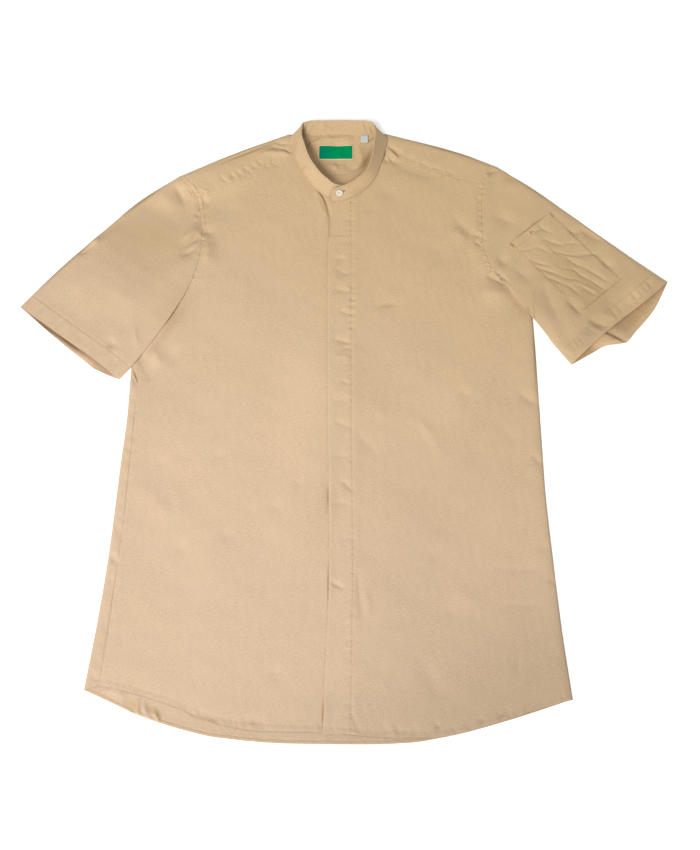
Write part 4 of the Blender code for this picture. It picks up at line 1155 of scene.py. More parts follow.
def band_face(place, height, side):
    """Points on the band's middle (side 0), outer (1) or inner face (-1), and its outward direction."""
    place, height = np.broadcast_arrays(np.asarray(place, float), np.asarray(height, float))
    run = band(place + 0.5, height) - band(place - 0.5, height)
    up = band(place, np.ones(place.shape)) - band(place, np.zeros(place.shape))
    out = np.cross(up, run)
    out /= np.linalg.norm(out, axis=-1)[..., None]
    soft = 1 - ease((place - BAND_LENGTH + 50) / 20)
    wave = 0.45 * ripple(place, 55.0, 91) * height + 0.22 * ripple(place, 13.0, 92) * np.sin(np.pi * height)
    back = np.exp(-((place - BAND_LENGTH * 0.47) / 55) ** 2)
    wave += 1.5 * back * ripple(place + 8 * height, 19.0, 93) * (0.3 + 0.7 * height)
    return band(place, height) + out * (wave * soft + side * BAND_CLOTH / 2)[..., None], out


def band_piece():
    heights = np.array([0.0, 0.03, 0.08, 0.15, 0.25, 0.4, 0.55, 0.7, 0.8, 0.88, 0.94, 0.98, 1.0])
    off_middle = np.maximum(np.abs(heights - 0.5) - (0.5 - BAND_CORNER_PART), 0) / BAND_CORNER_PART
    corner = BAND_CORNER * (1 - np.sqrt(1 - off_middle ** 2))
    parts = steps(((0, 0), (BAND_LENGTH, 0)), 2.0, reach=10.0)
    place = corner[:, None] + (BAND_LENGTH - 2 * corner[:, None]) * parts[None]
    height = np.repeat(heights[:, None], place.shape[1], axis=1)
    uv = np.stack([place, height * BAND_HEIGHT], -1)
    return cloth('band_cloth', band_face(place, height, 0)[0], ['collar_band'], thickness=BAND_CLOTH,
                 paint=COTTON_BAND, uv=uv)


# ------------------------------------------------------------------ thread
def threads(name, runs, paint, length=2.3, gap=0.6, radius=0.24, sides=6):
    """Short stitches along runs; a run is points and the direction that the cloth faces at each."""
    starts, ends, faces_up = [], [], []
    for line, normal in runs:
        keys = along_keys(line)
        count = max(1, int((keys[-1] + gap) / (length + gap)))
        size = min(length, keys[-1])
        first = (np.arange(count) + 0.5) * keys[-1] / count - size / 2
        for group, at, columns in ((starts, first, line), (ends, first + size, line),
                                   (faces_up, first + size / 2, normal)):
            group.append(np.stack([np.interp(at, keys, column) for column in columns.T], axis=1))
    a, b, up = np.concatenate(starts), np.concatenate(ends), np.concatenate(faces_up)
    way = b - a
    way /= np.linalg.norm(way, axis=1)[:, None]
    side = np.cross(way, up)
    side /= np.linalg.norm(side, axis=1)[:, None]
    up = np.cross(side, way)
    angle = np.arange(sides) * math.tau / sides
    circle = np.cos(angle)[None, :, None] * side[:, None] + np.sin(angle)[None, :, None] * up[:, None]
    rings = []
    for part, thick, lift in ((0.0, 0.4, -0.6), (0.2, 1.0, 0.3), (0.8, 1.0, 0.3), (1.0, 0.4, -0.6)):
        centre = a + (b - a) * part + up * radius * lift
        rings.append(centre[:, None] + circle * radius * thick)
    verts = np.stack(rings, axis=1)
    first = (np.arange(len(verts)) * 4 * sides)[:, None]
    ring, k = np.divmod(np.arange(3 * sides), sides)
    quad = np.stack([ring * sides + k, ring * sides + (k + 1) % sides,
                     (ring + 1) * sides + (k + 1) % sides, (ring + 1) * sides + k], -1)
    quads = (first[:, :, None] + quad[None]).reshape(-1, 4).tolist()
    caps = [(first + (3 * sides + np.arange(sides))[None]).tolist(),
            (first + np.arange(sides)[None, ::-1]).tolist()]
    return mesh_piece(name, verts.reshape(-1, 3), quads + caps[0] + caps[1], paint)


def on(surface, line, *extra):
    """A run that lies on a surface."""
    line = np.asarray(line, float)
    keys = along_keys(line)
    dense = np.stack([np.interp(np.linspace(0, keys[-1], int(keys[-1]) + 2), keys, column)
                      for column in line.T], axis=1)
    points = lifted(dense, surface(dense[:, 0], dense[:, 1], *extra) + CLOTH / 2)
    return points, np.tile([0.0, 0.0, 1.0], (len(points), 1))


def clipped(line, test):
    """The points of a line that pass a test of x and y."""
    line = np.asarray(line, float)
    return line[test(line[:, 0], line[:, 1])]


def body_stitches():
    arms = [clipped(offset(ARMHOLES['left'], -ARM_STITCH), lambda x, y: y > 262),
            offset(ARMHOLES['right'], ARM_STITCH)]
    yoke_lines = [offset(SEAMS['yoke left'], 1.6)[4:-3], offset(SEAMS['yoke right'], 1.6)[3:-4]]
    hem = offset(SEAMS['front hem'], HEM)
    right_hem = clipped(hem, lambda x, y: x < placket_x(1, y) - 1)
    left_hem = clipped(hem, lambda x, y: (x > placket_x(2, y) + 1) & (x < SIDE_RIGHT[0][0] - 8))
    back_hem = offset(SEAMS['back hem'], BACK_HEM_DEPTH)[2:-2]
    # A row of dark thread on the back, just beyond the front hem's edge, is a painted shadow under that edge.
    hem_shadow_line = offset(SEAMS['front hem'], -0.4)[6:-6]
    y = np.linspace(FRONT_EDGE_Y + 2, PLACKET_SEAM_Y - 1.5, 300)
    strip_line = np.stack([placket_x(2, y) - PLACKET_STITCH, y], axis=1)
    y = np.linspace(306, PLACKET_SEAM_Y + 1.5, 40)
    left = np.stack([placket_x(1, y) + 1.5, y], axis=1)
    right = np.stack([placket_x(2, y) - 1.5, y], axis=1)
    # A row of dark thread just outside the strip's folded edge is a painted shadow line along that edge.
    y = np.linspace(FRONT_EDGE_Y + 4, PLACKET_SEAM_Y, 300)
    strip_shadow_line = np.stack([placket_x(1, y) - 0.15, y], axis=1)
    runs = [on(body, line) for line in arms[:1] + [strip_shadow_line]]
    runs += [on(back_inside, back_hem), on(back_inside, hem_shadow_line)]
    runs += [on(strip_top, line) for line in (strip_line, left, right)]
    pale = [on(body, line) for line in arms[1:] + yoke_lines + [right_hem]]
    pale += [on(left_front, left_hem), on(strip_top, np.stack([left[-1], right[-1]]))]
    threads('hem_stitches', pale, PALE_THREAD)
    return threads('body_stitches', runs, THREAD)


def sleeve_stitches():
    runs = []
    for which, sign in (('left', 1), ('right', -1)):
        upper = offset(SEAMS['cuff ' + which], sign * SLEEVE_HEM)[2:-2]
        lower = offset(SEAMS['cuff under ' + which], sign * SLEEVE_HEM)[2:-2]
        runs += [on(sleeve_over, upper, which), on(sleeve_inside, lower, which)]
    return threads('sleeve_stitches', runs, THREAD)


def sleeve_inside(x, y, which):
    """Middle height of a sleeve's lower layer, with the relief inside the cuff."""
    return sleeve_under(x, y, which) + inside_relief(np.stack([x, y], -1), which)


def pocket_stitches():
    a, b, c, d = np.array(POCKET, float)
    down = (d - a) / np.linalg.norm(d - a)
    over = (b - a) / np.linalg.norm(b - a)
    side = over * POCKET_STITCH
    foot = down * POCKET_STITCH
    hem = down * POCKET_HEM
    lines = [[a + side + foot, d + side - foot], [d + side - foot, c - side - foot], [c - side - foot, b - side + foot],
             [a + side + hem, b - side + hem], [(a + b) / 2 + foot, (c + d) / 2 - foot]]
    return threads('pocket_stitches', [on(pocket_top, line) for line in lines], THREAD)


def band_stitches():
    runs = {1: [], -1: []}
    for height in (0.09, 0.91):
        place = np.linspace(4, BAND_LENGTH - 4, 420)
        for side in (1, -1):
            points, out = band_face(place, height, side)
            runs[side].append((points, out * side))
    points, out = band_face(BAND_LENGTH - 2.2, np.linspace(0.2, 0.8, 12), 1)
    runs[1].append((points, out))
    threads('band_inner_stitches', runs[-1], PALE_THREAD)
    return threads('band_stitches', runs[1], THREAD)


# ------------------------------------------------------------------ button, labels
def buttonhole():
    """A slit beside the button, with whipped edges; the slit is a dark sheet of painted shade."""
    first, last = BAND_LENGTH * BUTTON_PLACE - 11.0, BAND_LENGTH * BUTTON_PLACE + 0.5
    place = np.linspace(first, last, 15)
    half = 0.38 * np.sqrt(np.clip(1 - ((place - (first + last) / 2) / ((last - first) / 2)) ** 2, 0, 1)) + 0.03
    rows = []
    for sign in (-1, -0.5, 0, 0.5, 1):
        points, out = band_face(place, BUTTON_HEIGHT + sign * half / BAND_HEIGHT, 1)
        rows.append(points + out * 0.05)
    verts = np.array(rows)
    index = np.arange(verts.shape[0] * verts.shape[1]).reshape(verts.shape[:2])
    faces = np.stack([index[:-1, :-1], index[:-1, 1:], index[1:, 1:], index[1:, :-1]], -1).reshape(-1, 4)
    slit = mesh_piece('buttonhole_shadow_sheet', verts.reshape(-1, 3), faces, SLIT_SHADOW)
    wall = slit.modifiers.new('wall', 'SOLIDIFY')
    wall.thickness = 0.05 * MM
    runs = []
    for at in np.arange(first + 0.4, last, 0.55):
        for sign in (-1, 1):
            points, out = band_face(np.full(3, at), BUTTON_HEIGHT + sign * np.array([0.35, 0.8, 1.35]) / BAND_HEIGHT, 1)
            runs.append((points, out))
    for end in (first - 0.3, last + 0.3):
        points, out = band_face(np.full(3, end), BUTTON_HEIGHT + np.array([-1.3, 0.0, 1.3]) / BAND_HEIGHT, 1)
        runs.append((points, out))
    threads('buttonhole_stitches', runs, THREAD, length=3.0, gap=0.1, radius=0.22)


def button_thread():
    """Two strands crossed over the button's four holes."""
    (centre,), (out,) = band_face([BAND_LENGTH * BUTTON_PLACE], [BUTTON_HEIGHT], 0)
    centre = band(np.array([BAND_LENGTH * BUTTON_PLACE]), np.array([BUTTON_HEIGHT]))[0]
    turn = Vector(out).to_track_quat('Z', 'Y').to_matrix()
    high = CAD_BAND / 2 + BUTTON_LIFT + BUTTON_FACE
    runs = []
    for corner in (0, 1):
        angle = math.tau * (corner + 0.5) / 4
        for beside in (-0.22, 0.22):
            ends = []
            for part in np.linspace(-1, 1, 9):
                place = Vector((HOLE_CIRCLE * part * math.cos(angle) - beside * math.sin(angle),
                                HOLE_CIRCLE * part * math.sin(angle) + beside * math.cos(angle),
                                high + 0.25 * corner * (1 - part * part)))
                ends.append(centre + np.array(turn @ place))
            runs.append((np.array(ends), np.tile(out, (9, 1))))
    threads('button_thread', runs, CREAM_THREAD, length=2.9, gap=0.1, radius=0.2)


def rounded(size, radius, coarse):
    """A grid of points over a rectangle with round corners, about the origin."""
    wide, high = size
    t = np.linspace(-1, 1, max(6, int(high / coarse)) * 2 + 1)
    y = np.sin(t * np.pi / 2) * high / 2
    over = np.maximum(np.abs(y) - (high / 2 - radius), 0)
    half = wide / 2 - radius + np.sqrt(np.maximum(radius ** 2 - over ** 2, 0))
    u = np.linspace(-1, 1, int(wide / coarse) + 1)
    x = half[:, None] * u[None]
    return np.stack([x, np.repeat(y[:, None], x.shape[1], axis=1)], axis=-1)


def label():
    """A woven patch with a stitched pale rim; bare where the real one is lettered."""
    rim = rounded(LABEL_SIZE, 2.2, 1.5)
    field = rounded((LABEL_SIZE[0] - 2 * LABEL_RIM, LABEL_SIZE[1] - 2 * LABEL_RIM), 1.3, 1.2)
    made = []
    for name, flat, rise, thickness, paint, replaced in (
            ('label_rim', rim, LABEL_RISE, 0.3, RIM, ['neck_label']),
            ('label_field', field, LABEL_RISE + 0.32, 0.3, GREEN, [])):
        xy = flat + np.array(LABEL_CENTRE)
        z = yoke_back(xy[..., 0], xy[..., 1]) + rise + waves(xy[..., 0], xy[..., 1], 12, 30, 0.05, 62)
        made.append(cloth(name, lifted(xy, z), replaced, thickness, paint=paint))
    half = np.array(LABEL_SIZE) / 2 - LABEL_RIM / 2
    corners = [np.array([sx * half[0], sy * half[1]]) for sx, sy in ((-1, -1), (1, -1), (1, 1), (-1, 1))]
    runs = []
    for a, b in zip(corners, corners[1:] + corners[:1]):
        inset = (b - a) / np.linalg.norm(b - a) * 1.2
        points, up = on(yoke_back, [a + inset + LABEL_CENTRE, b - inset + LABEL_CENTRE])
        runs.append((points + np.array([0, 0, LABEL_RISE - CLOTH / 2 + 0.18]), up))
    made.append(threads('label_stitches', runs, RIM_THREAD, length=1.5, gap=0.5, radius=0.2))
    return made


def size_tag():
    """A tape folded in two and sewn in under the band; bare."""
    wide, high = TAG_SIZE
    down = np.concatenate([np.linspace(0, 0.95, 11), np.full(5, 1.0), np.linspace(0.95, 0, 11)])
    turn = np.concatenate([np.zeros(11), np.linspace(0, 1, 7)[1:-1], np.ones(11)])
    y = TAG_CENTRE[1] + high / 2 - high * down
    x = TAG_CENTRE[0] + np.linspace(-wide / 2, wide / 2, 9)
    xx, yy = np.meshgrid(x, y)
    tip = 0.5 * np.sin(np.pi * turn) * (down == 1.0)
    yy = yy - tip[:, None]
    base = yoke_back(xx, yy) + CLOTH / 2 + 0.25
    lift = 0.9 * ease(down)[:, None] * (0.7 + 0.3 * (xx - x[0]) / wide)
    z = base + lift + 0.75 * (1 - np.cos(np.pi * turn))[:, None] / 2
    return cloth('tag_cloth', lifted(np.stack([xx, yy], -1), z), ['size_tag'], 0.3, paint=TAPE)


# ------------------------------------------------------------------ materials
def node_tree(name):
    made = bpy.data.materials.new(name)
    made.use_nodes = True
    tree = made.node_tree
    return made, tree, tree.nodes['Principled BSDF']


def add(tree, kind, **values):
    made = tree.nodes.new(kind)
    for key, value in values.items():
        if key in made.inputs:
            made.inputs[key].default_value = value
        else:
            setattr(made, key, value)
    return made


def joined_to(tree, socket, value):
    if isinstance(value, (int, float, tuple)):
        socket.default_value = value
    else:
        tree.links.new(value, socket)


def mixed(tree, factor, first, second, blend='MIX'):
    """A colour mix; first and second are colours or sockets."""
    mix = add(tree, 'ShaderNodeMix', data_type='RGBA', blend_type=blend)
    for index, value in ((0, factor), (6, first), (7, second)):
        joined_to(tree, mix.inputs[index], value)
    return mix.outputs[2]


def math_node(tree, operation, first, second=0.0):
    made = add(tree, 'ShaderNodeMath', operation=operation)
    joined_to(tree, made.inputs[0], first)
    joined_to(tree, made.inputs[1], second)
    return made.outputs[0]


def noise(tree, place, scale, detail=2.0, stretch=None, low=0.3, high=0.7):
    """Noise spread over 0 to 1."""
    if stretch:
        mapping = add(tree, 'ShaderNodeMapping')
        mapping.inputs['Scale'].default_value = stretch
        tree.links.new(place, mapping.inputs['Vector'])
        place = mapping.outputs[0]
    made = add(tree, 'ShaderNodeTexNoise', Scale=scale, Detail=detail)
    tree.links.new(place, made.inputs['Vector'])
    spread = add(tree, 'ShaderNodeMapRange')
    spread.inputs[1].default_value = low
    spread.inputs[2].default_value = high
    tree.links.new(made.outputs[0], spread.inputs[0])
    return spread.outputs[0]


def across_garment(tree):
    """The mask for the painted fall-off of light: from 0 at the lower left of the garment to 1 at its upper right."""
    place = add(tree, 'ShaderNodeTexCoord').outputs['Object']
    split = add(tree, 'ShaderNodeSeparateXYZ')
    tree.links.new(place, split.inputs[0])
    slant = math_node(tree, 'ADD', math_node(tree, 'MULTIPLY', split.outputs[0], 0.55), split.outputs[1])
    spread = add(tree, 'ShaderNodeMapRange', interpolation_type='SMOOTHSTEP')
    spread.inputs[1].default_value = CAD_LOW.y * 0.8
    spread.inputs[2].default_value = CAD_HIGH.y * 1.3
    tree.links.new(slant, spread.inputs[0])
    return spread.outputs[0]


GRAIN = 0.75                     # how dark the cloth's fine mottle gets


def drift(tree, x, y, turn, long, wide):
    """The mask for a spot of painted light or shade, or of the label's own tone: from 1 in the middle of a soft oval
    spot of the garment, in millimetres and degrees, to 0 at its edge.
    """
    place = add(tree, 'ShaderNodeTexCoord').outputs['Object']
    mapping = add(tree, 'ShaderNodeMapping', vector_type='TEXTURE')
    mapping.inputs['Location'].default_value = (x * MM, y * MM, 0)
    mapping.inputs['Rotation'].default_value = (0, 0, math.radians(turn))
    mapping.inputs['Scale'].default_value = (long * MM, wide * MM, 1.0)
    tree.links.new(place, mapping.inputs['Vector'])
    length = add(tree, 'ShaderNodeVectorMath', operation='LENGTH')
    tree.links.new(mapping.outputs[0], length.inputs[0])
    spread = add(tree, 'ShaderNodeMapRange', interpolation_type='SMOOTHSTEP')
    spread.inputs[3].default_value = 1.0
    spread.inputs[4].default_value = 0.0
    tree.links.new(length.outputs['Value'], spread.inputs[0])
    return spread.outputs[0]


def woven(name, light, dark, worn=None, far=None, tone_and_shade_spots=(), cavity_shade=None, pitch=0.00055, depth=0.00006, roughness=0.8,
          sheen=0.2, uneven=1.0, specular=0.3):
    """Plain-woven cloth: crossing threads, uneven yarn, broad blotches of tone, and oval spots of painted light and
    shade (on the label, of its own two tones); where asked, a painted fall-off of light across the garment and painted
    shade where the cloth lies low.
    """
    made, tree, shader = node_tree(name)
    place = add(tree, 'ShaderNodeUVMap', uv_map='weave').outputs[0]
    split = add(tree, 'ShaderNodeSeparateXYZ')
    tree.links.new(place, split.inputs[0])
    warp, weft = (math_node(tree, 'SINE', math_node(tree, 'MULTIPLY', split.outputs[k], math.tau / pitch))
                  for k in (0, 1))
    cross = math_node(tree, 'MULTIPLY', warp, weft)
    yarn = noise(tree, place, 480.0, 2.0)
    slub = noise(tree, place, 1.0, 2.0, stretch=(160.0, 1100.0, 1.0))
    fine = math_node(tree, 'MULTIPLY', math_node(tree, 'ADD', yarn, slub), 0.5)
    colour = mixed(tree, fine, dark, light)
    grain = noise(tree, place, 750.0, 1.0)
    colour = mixed(tree, math_node(tree, 'MULTIPLY', grain, GRAIN), colour, mixed(tree, 1.0, colour, (0.72, 0.70, 0.66, 1), 'MULTIPLY'))
    if worn:
        blotch = math_node(tree, 'MULTIPLY', noise(tree, place, 14.0, 4.0), 0.55 * uneven)
        colour = mixed(tree, blotch, colour, worn)
    # Painted fall-off of light: the cloth turns darker and yellower towards the garment's upper right.
    if far:
        colour = mixed(tree, across_garment(tree), colour, mixed(tree, 1.0, colour, far, 'MULTIPLY'))
    # Painted shade: the lower the cloth lies, from 2.2 mm down to 0.7 mm off the floor, the more its colour is darkened
    # by this tint, like the shade in a hollow.
    if cavity_shade:
        height = add(tree, 'ShaderNodeSeparateXYZ')
        tree.links.new(add(tree, 'ShaderNodeTexCoord').outputs['Object'], height.inputs[0])
        deep = add(tree, 'ShaderNodeMapRange', interpolation_type='SMOOTHSTEP')
        for k, value in enumerate((0.7 * MM, 2.2 * MM, 1.0, 0.0)):
            deep.inputs[k + 1].default_value = value
        tree.links.new(height.outputs[2], deep.inputs[0])
        colour = mixed(tree, deep.outputs[0], colour, mixed(tree, 1.0, colour, cavity_shade, 'MULTIPLY'))
    # Oval spots of painted light and shade; on the label, its own lighter and darker tones.
    for x, y, turn, long, wide, tint in tone_and_shade_spots:
        amount = drift(tree, x, y, turn, long, wide)
        colour = mixed(tree, amount, colour, mixed(tree, 1.0, colour, tint, 'MULTIPLY'))
    tree.links.new(colour, shader.inputs['Base Color'])
    height = math_node(tree, 'ADD', math_node(tree, 'MULTIPLY', cross, 0.5), fine)
    bump = add(tree, 'ShaderNodeBump', Strength=0.6, Distance=depth)
    tree.links.new(height, bump.inputs['Height'])
    tree.links.new(bump.outputs[0], shader.inputs['Normal'])
    rough = add(tree, 'ShaderNodeMapRange')
    rough.inputs[3].default_value = roughness - 0.06
    rough.inputs[4].default_value = roughness + 0.06
    tree.links.new(fine, rough.inputs[0])
    tree.links.new(rough.outputs[0], shader.inputs['Roughness'])
    shader.inputs['Sheen Weight'].default_value = sheen
    shader.inputs['Sheen Roughness'].default_value = 0.45
    shader.inputs['Specular IOR Level'].default_value = specular
    return made


def mottled(name, light, dark, scale, roughness, sheen=0.0, coat=0.0, depth=0.00005):
    """A fine two-tone mottle in the object's own space, for thread and the button."""
    made, tree, shader = node_tree(name)
    place = add(tree, 'ShaderNodeTexCoord').outputs['Object']
    grain = noise(tree, place, scale, 3.0)
    tree.links.new(mixed(tree, grain, dark, light), shader.inputs['Base Color'])
    bump = add(tree, 'ShaderNodeBump', Strength=0.3, Distance=depth)
    tree.links.new(grain, bump.inputs['Height'])
    tree.links.new(bump.outputs[0], shader.inputs['Normal'])
    shader.inputs['Roughness'].default_value = roughness
    shader.inputs['Sheen Weight'].default_value = sheen
    shader.inputs['Coat Weight'].default_value = coat
    return made


# Oval spots of painted light and shade: x, y, turn, half length, half width, tint. Darker ones are painted shadows,
# painted shade in creases, seams and along edges, and a painted fall-off of lamp light; lighter ones are painted light.
# Painted shade along the edges that turn away from the lamp.
EDGE_SHADE = (0.66, 0.63, 0.52, 1)
# Painted shadow on the body beside the armpits, under the sleeves' lower folds.
UNDERARM_SHADOW = (0.94, 0.89, 0.86, 1)
LIGHT_AND_SHADE_SPOTS = (
    (-270, 250, -14, 130, 62, (0.84, 0.835, 0.78, 1)),
    (0, -420, 0, 420, 90, (0.93, 0.935, 0.94, 1)),
    (-236, 113, 57, 75, 10, UNDERARM_SHADOW),
    (227, 155, -54, 52, 8, UNDERARM_SHADOW),
    (-223, 322, 10, 95, 40, (1.12, 1.12, 1.13, 1)),
    (-60, 0, 86, 190, 62, (1.07, 1.07, 1.07, 1)),
    (-180, -80, 82, 270, 110, (1.02, 1.02, 1.02, 1)),
    (150, 45, 80, 90, 48, (1.05, 1.045, 1.04, 1)),
    (-165, 322, 20, 75, 26, (1.08, 1.08, 1.08, 1)),
    (235, 322, -30, 48, 24, (1.07, 1.07, 1.07, 1)),
    (-190, 272, -75, 42, 16, (0.92, 0.91, 0.88, 1)),
    (-362, 155, -40, 70, 32, (1.06, 1.06, 1.06, 1)),
    (-222, 150, 60, 62, 34, (0.93, 0.93, 0.91, 1)),
    (330, 150, -50, 125, 52, (0.87, 0.87, 0.83, 1)),
    (236, 145, 0, 40, 30, (0.92, 0.92, 0.90, 1)),
    (230, -380, 20, 330, 210, (0.84, 0.84, 0.82, 1)),
    (90, -205, 80, 210, 90, (0.945, 0.95, 0.95, 1)),
    (380, 160, 48, 46, 26, (1.13, 1.13, 1.13, 1)),
    (318, 104, 41, 38, 18, (0.88, 0.88, 0.88, 1)),
    (-21.4, -113, 90.5, 27, 1.7, (0.68, 0.58, 0.48, 1)),
    (-20.6, -226, 89.5, 38, 1.9, (0.64, 0.56, 0.48, 1)),
    (-26, -385, 88, 24, 1.9, (0.62, 0.54, 0.46, 1)),
    (-22, 262, 90, 26, 1.9, (0.78, 0.72, 0.64, 1)),
    (-6, 252.4, 0, 17, 1.1, (0.74, 0.69, 0.60, 1)),
    (-291, -262, 84.2, 110, 1.3, (0.84, 0.80, 0.74, 1)),
    (-276.5, -69, 87, 120, 1.3, (0.84, 0.80, 0.74, 1)),
    (252, 264.5, 38.8, 42, 1.8, (0.56, 0.49, 0.40, 1)),
    (325, 237, -48, 78, 1.5, (0.80, 0.76, 0.68, 1)),
    (343, 164.5, 39.8, 42, 1.4, (0.84, 0.80, 0.73, 1)),
    (270, 192, -48, 74, 1.4, (0.88, 0.84, 0.77, 1)),
    (297, 215, -48, 78, 42, (0.965, 0.96, 0.92, 1)),
    (-184, -388, -28, 15, 4, (0.90, 0.87, 0.78, 1)),
    (-160, -393, -20, 13, 4, (0.88, 0.85, 0.76, 1)),
    (-110, -397, -8, 17, 3.5, (0.90, 0.87, 0.78, 1)),
    (-30, 298, -65, 30, 5, (0.78, 0.72, 0.63, 1)),
    (58, 151, 2, 17, 5.5, (0.86, 0.83, 0.74, 1)),
    (-8, 200, 90, 40, 11, (0.965, 0.965, 0.945, 1)),
    (113, -402, 10, 6, 4, (0.80, 0.77, 0.70, 1)),
    (166, -395, 14, 6, 4, (0.80, 0.77, 0.70, 1)),
    (191, -388, 17, 7, 4, (0.78, 0.75, 0.68, 1)),
    (-135, 379, 23, 62, 2.8, (0.68, 0.65, 0.51, 1)),
    (-211.4, 315.8, -58, 9, 1.1, (0.70, 0.60, 0.46, 1)),
    (-207.3, 315.5, -62, 9, 1.1, (0.74, 0.64, 0.50, 1)),
    (-203.4, 282.4, -51, 8, 1.3, (0.72, 0.62, 0.48, 1)),
    (244.9, 142.6, -59, 12, 3, (0.84, 0.76, 0.68, 1)),
    (-104, 385, 12, 22, 6, (0.88, 0.86, 0.78, 1)),
    (226.5, 238.5, -52, 6, 2.2, (0.62, 0.55, 0.42, 1)),
    (282, 282.5, -52, 5, 2, (0.62, 0.55, 0.42, 1)),
    (252.5, 256.5, -52, 5, 1.7, (0.60, 0.52, 0.40, 1)),
    (-274, 309, 39, 64, 4.5, EDGE_SHADE),
    (-376, 212, 46.5, 90, 4.5, EDGE_SHADE),
    (-153, 381, 23.5, 88, 4.5, EDGE_SHADE),
    (137, 386, -19, 84, 4.5, EDGE_SHADE),
    (257, 325, -37, 60, 4.5, EDGE_SHADE),
    (368, 238, -38.4, 88, 4.5, EDGE_SHADE),
    (251, 90, 89, 85, 3.5, EDGE_SHADE),
)
# Painted light and shade inside the neck: the band's shadow lightened in places and deepened in others, and dark lines
# of painted shade for the creases.
NECK_LIGHT_AND_SHADE = LIGHT_AND_SHADE_SPOTS + (
    (-15, 331, 0, 48, 19, (1.55, 1.52, 1.45, 1)),
    (-46, 354, -62, 46, 17, (1.22, 1.20, 1.16, 1)),
    (-5, 376, 0, 75, 32, (1.0, 0.99, 0.95, 1)),
    (29, 367, 65, 30, 9, (0.60, 0.50, 0.43, 1)),
    (-42, 398, 25, 15, 2.2, (0.70, 0.66, 0.58, 1)),
    (-16, 403, -3, 20, 2.0, (0.76, 0.72, 0.64, 1)),
    (35, 399, 38, 13, 2.5, (0.72, 0.68, 0.60, 1)),
    (18, 356, 35, 16, 2.4, (0.76, 0.72, 0.65, 1)),
    (-54, 384, 78, 16, 2.6, (0.74, 0.70, 0.63, 1)),
    (-12, 362, -6, 24, 2.0, (0.80, 0.76, 0.69, 1)),
    (-14, 349, 5, 30, 1.6, (1.22, 1.20, 1.16, 1)),
    (2, 384, 0, 40, 24, (1.05, 1.05, 1.04, 1)),
)
# Painted shade on the back panel: the shade of the hem's folds, and a dark line for the shade of a fold by the left
# side strip.
BACK_SHADE_SPOTS = (
    (-256, -375, -30, 13, 6, (0.96, 0.86, 0.66, 1)),
    (-229, -384, -35, 13, 6, (0.94, 0.85, 0.66, 1)),
    (-275, 50, -67, 18, 2.6, (0.46, 0.37, 0.29, 1)),
)
# Painted light and shade on the band: lighter and darker where its faces turn towards or away from the lamp, and dark
# lines of painted shade for its creases.
BAND_LIGHT_AND_SHADE = LIGHT_AND_SHADE_SPOTS + (
    (15, 321, 32, 15, 7, (1.07, 1.065, 1.05, 1)),
    (38, 348, 62, 40, 20, (1.15, 1.15, 1.17, 1)),
    (50, 396, 75, 26, 14, (0.88, 0.88, 0.85, 1)),
    (20, 328, 25, 26, 13, (1.10, 1.09, 1.08, 1)),
    (-70, 386, 80, 26, 8, (0.90, 0.88, 0.84, 1)),
    (-44, 340, -52, 22, 12, (1.05, 1.05, 1.04, 1)),
    (-55, 413, 68, 10, 2.2, (0.76, 0.71, 0.64, 1)),
    (-46, 414, 58, 9, 1.7, (0.82, 0.77, 0.70, 1)),
    (-24, 415, -25, 14, 2.0, (0.88, 0.84, 0.78, 1)),
    (27, 414, -66, 10, 1.8, (0.80, 0.75, 0.68, 1)),
    (36, 411, -60, 9, 2.2, (0.76, 0.71, 0.64, 1)),
    (-58, 352, 35, 9, 2.0, (0.84, 0.80, 0.73, 1)),
)
# Painted shade and light inside the cuffs: a dark crescent of shade under each upper edge, lighter patches where the
# lamp reaches in, and the shade along the fold inside the right cuff.
CUFF_LIGHT_AND_SHADE = (
    (-403, 123, -37, 40, 7, (0.42, 0.31, 0.26, 1)),
    (-368, 99, -36, 46, 5, (0.45, 0.34, 0.28, 1)),
    (-340, 71, -36, 30, 9, (1.25, 1.24, 1.20, 1)),
    (336, 98, 20, 34, 22, (1.12, 1.08, 1.06, 1)),
    (398, 150, 58, 46, 26, (1.13, 1.13, 1.08, 1)),
    (360, 106, -31, 22, 2.5, (0.68, 0.60, 0.50, 1)),
)
# The cloth's own colours, and with far the tint of a painted fall-off of light towards the upper right.
BASE = dict(light=(0.676, 0.499, 0.343, 1), dark=(0.510, 0.370, 0.2475, 1), worn=(0.550, 0.404, 0.272, 1),
            far=(0.94, 0.91, 0.74, 1))
# Four copies of one cotton that differ in the painted light and shade they carry: on the garment at large, on the band,
# on the back panel and yoke, and inside the cuffs, where cloth lying low is also painted darker.
COTTON = woven('cotton', tone_and_shade_spots=LIGHT_AND_SHADE_SPOTS, **BASE)
COTTON_BAND = woven('cotton_band', tone_and_shade_spots=BAND_LIGHT_AND_SHADE, **BASE)
COTTON_BACK = woven('cotton_back', tone_and_shade_spots=NECK_LIGHT_AND_SHADE + BACK_SHADE_SPOTS, **BASE)
COTTON_INSIDE = woven('cotton_inside', cavity_shade=(0.80, 0.74, 0.68, 1), tone_and_shade_spots=CUFF_LIGHT_AND_SHADE, **BASE)
THREAD = mottled('thread', (0.44, 0.305, 0.190, 1), (0.35, 0.24, 0.145, 1), 900.0, 0.75)
PALE_THREAD = mottled('pale_thread', (0.60, 0.435, 0.295, 1), (0.50, 0.355, 0.235, 1), 900.0, 0.75)
CREAM_THREAD = mottled('cream_thread', (0.66, 0.60, 0.47, 1), (0.52, 0.46, 0.34, 1), 900.0, 0.65, sheen=0.2)
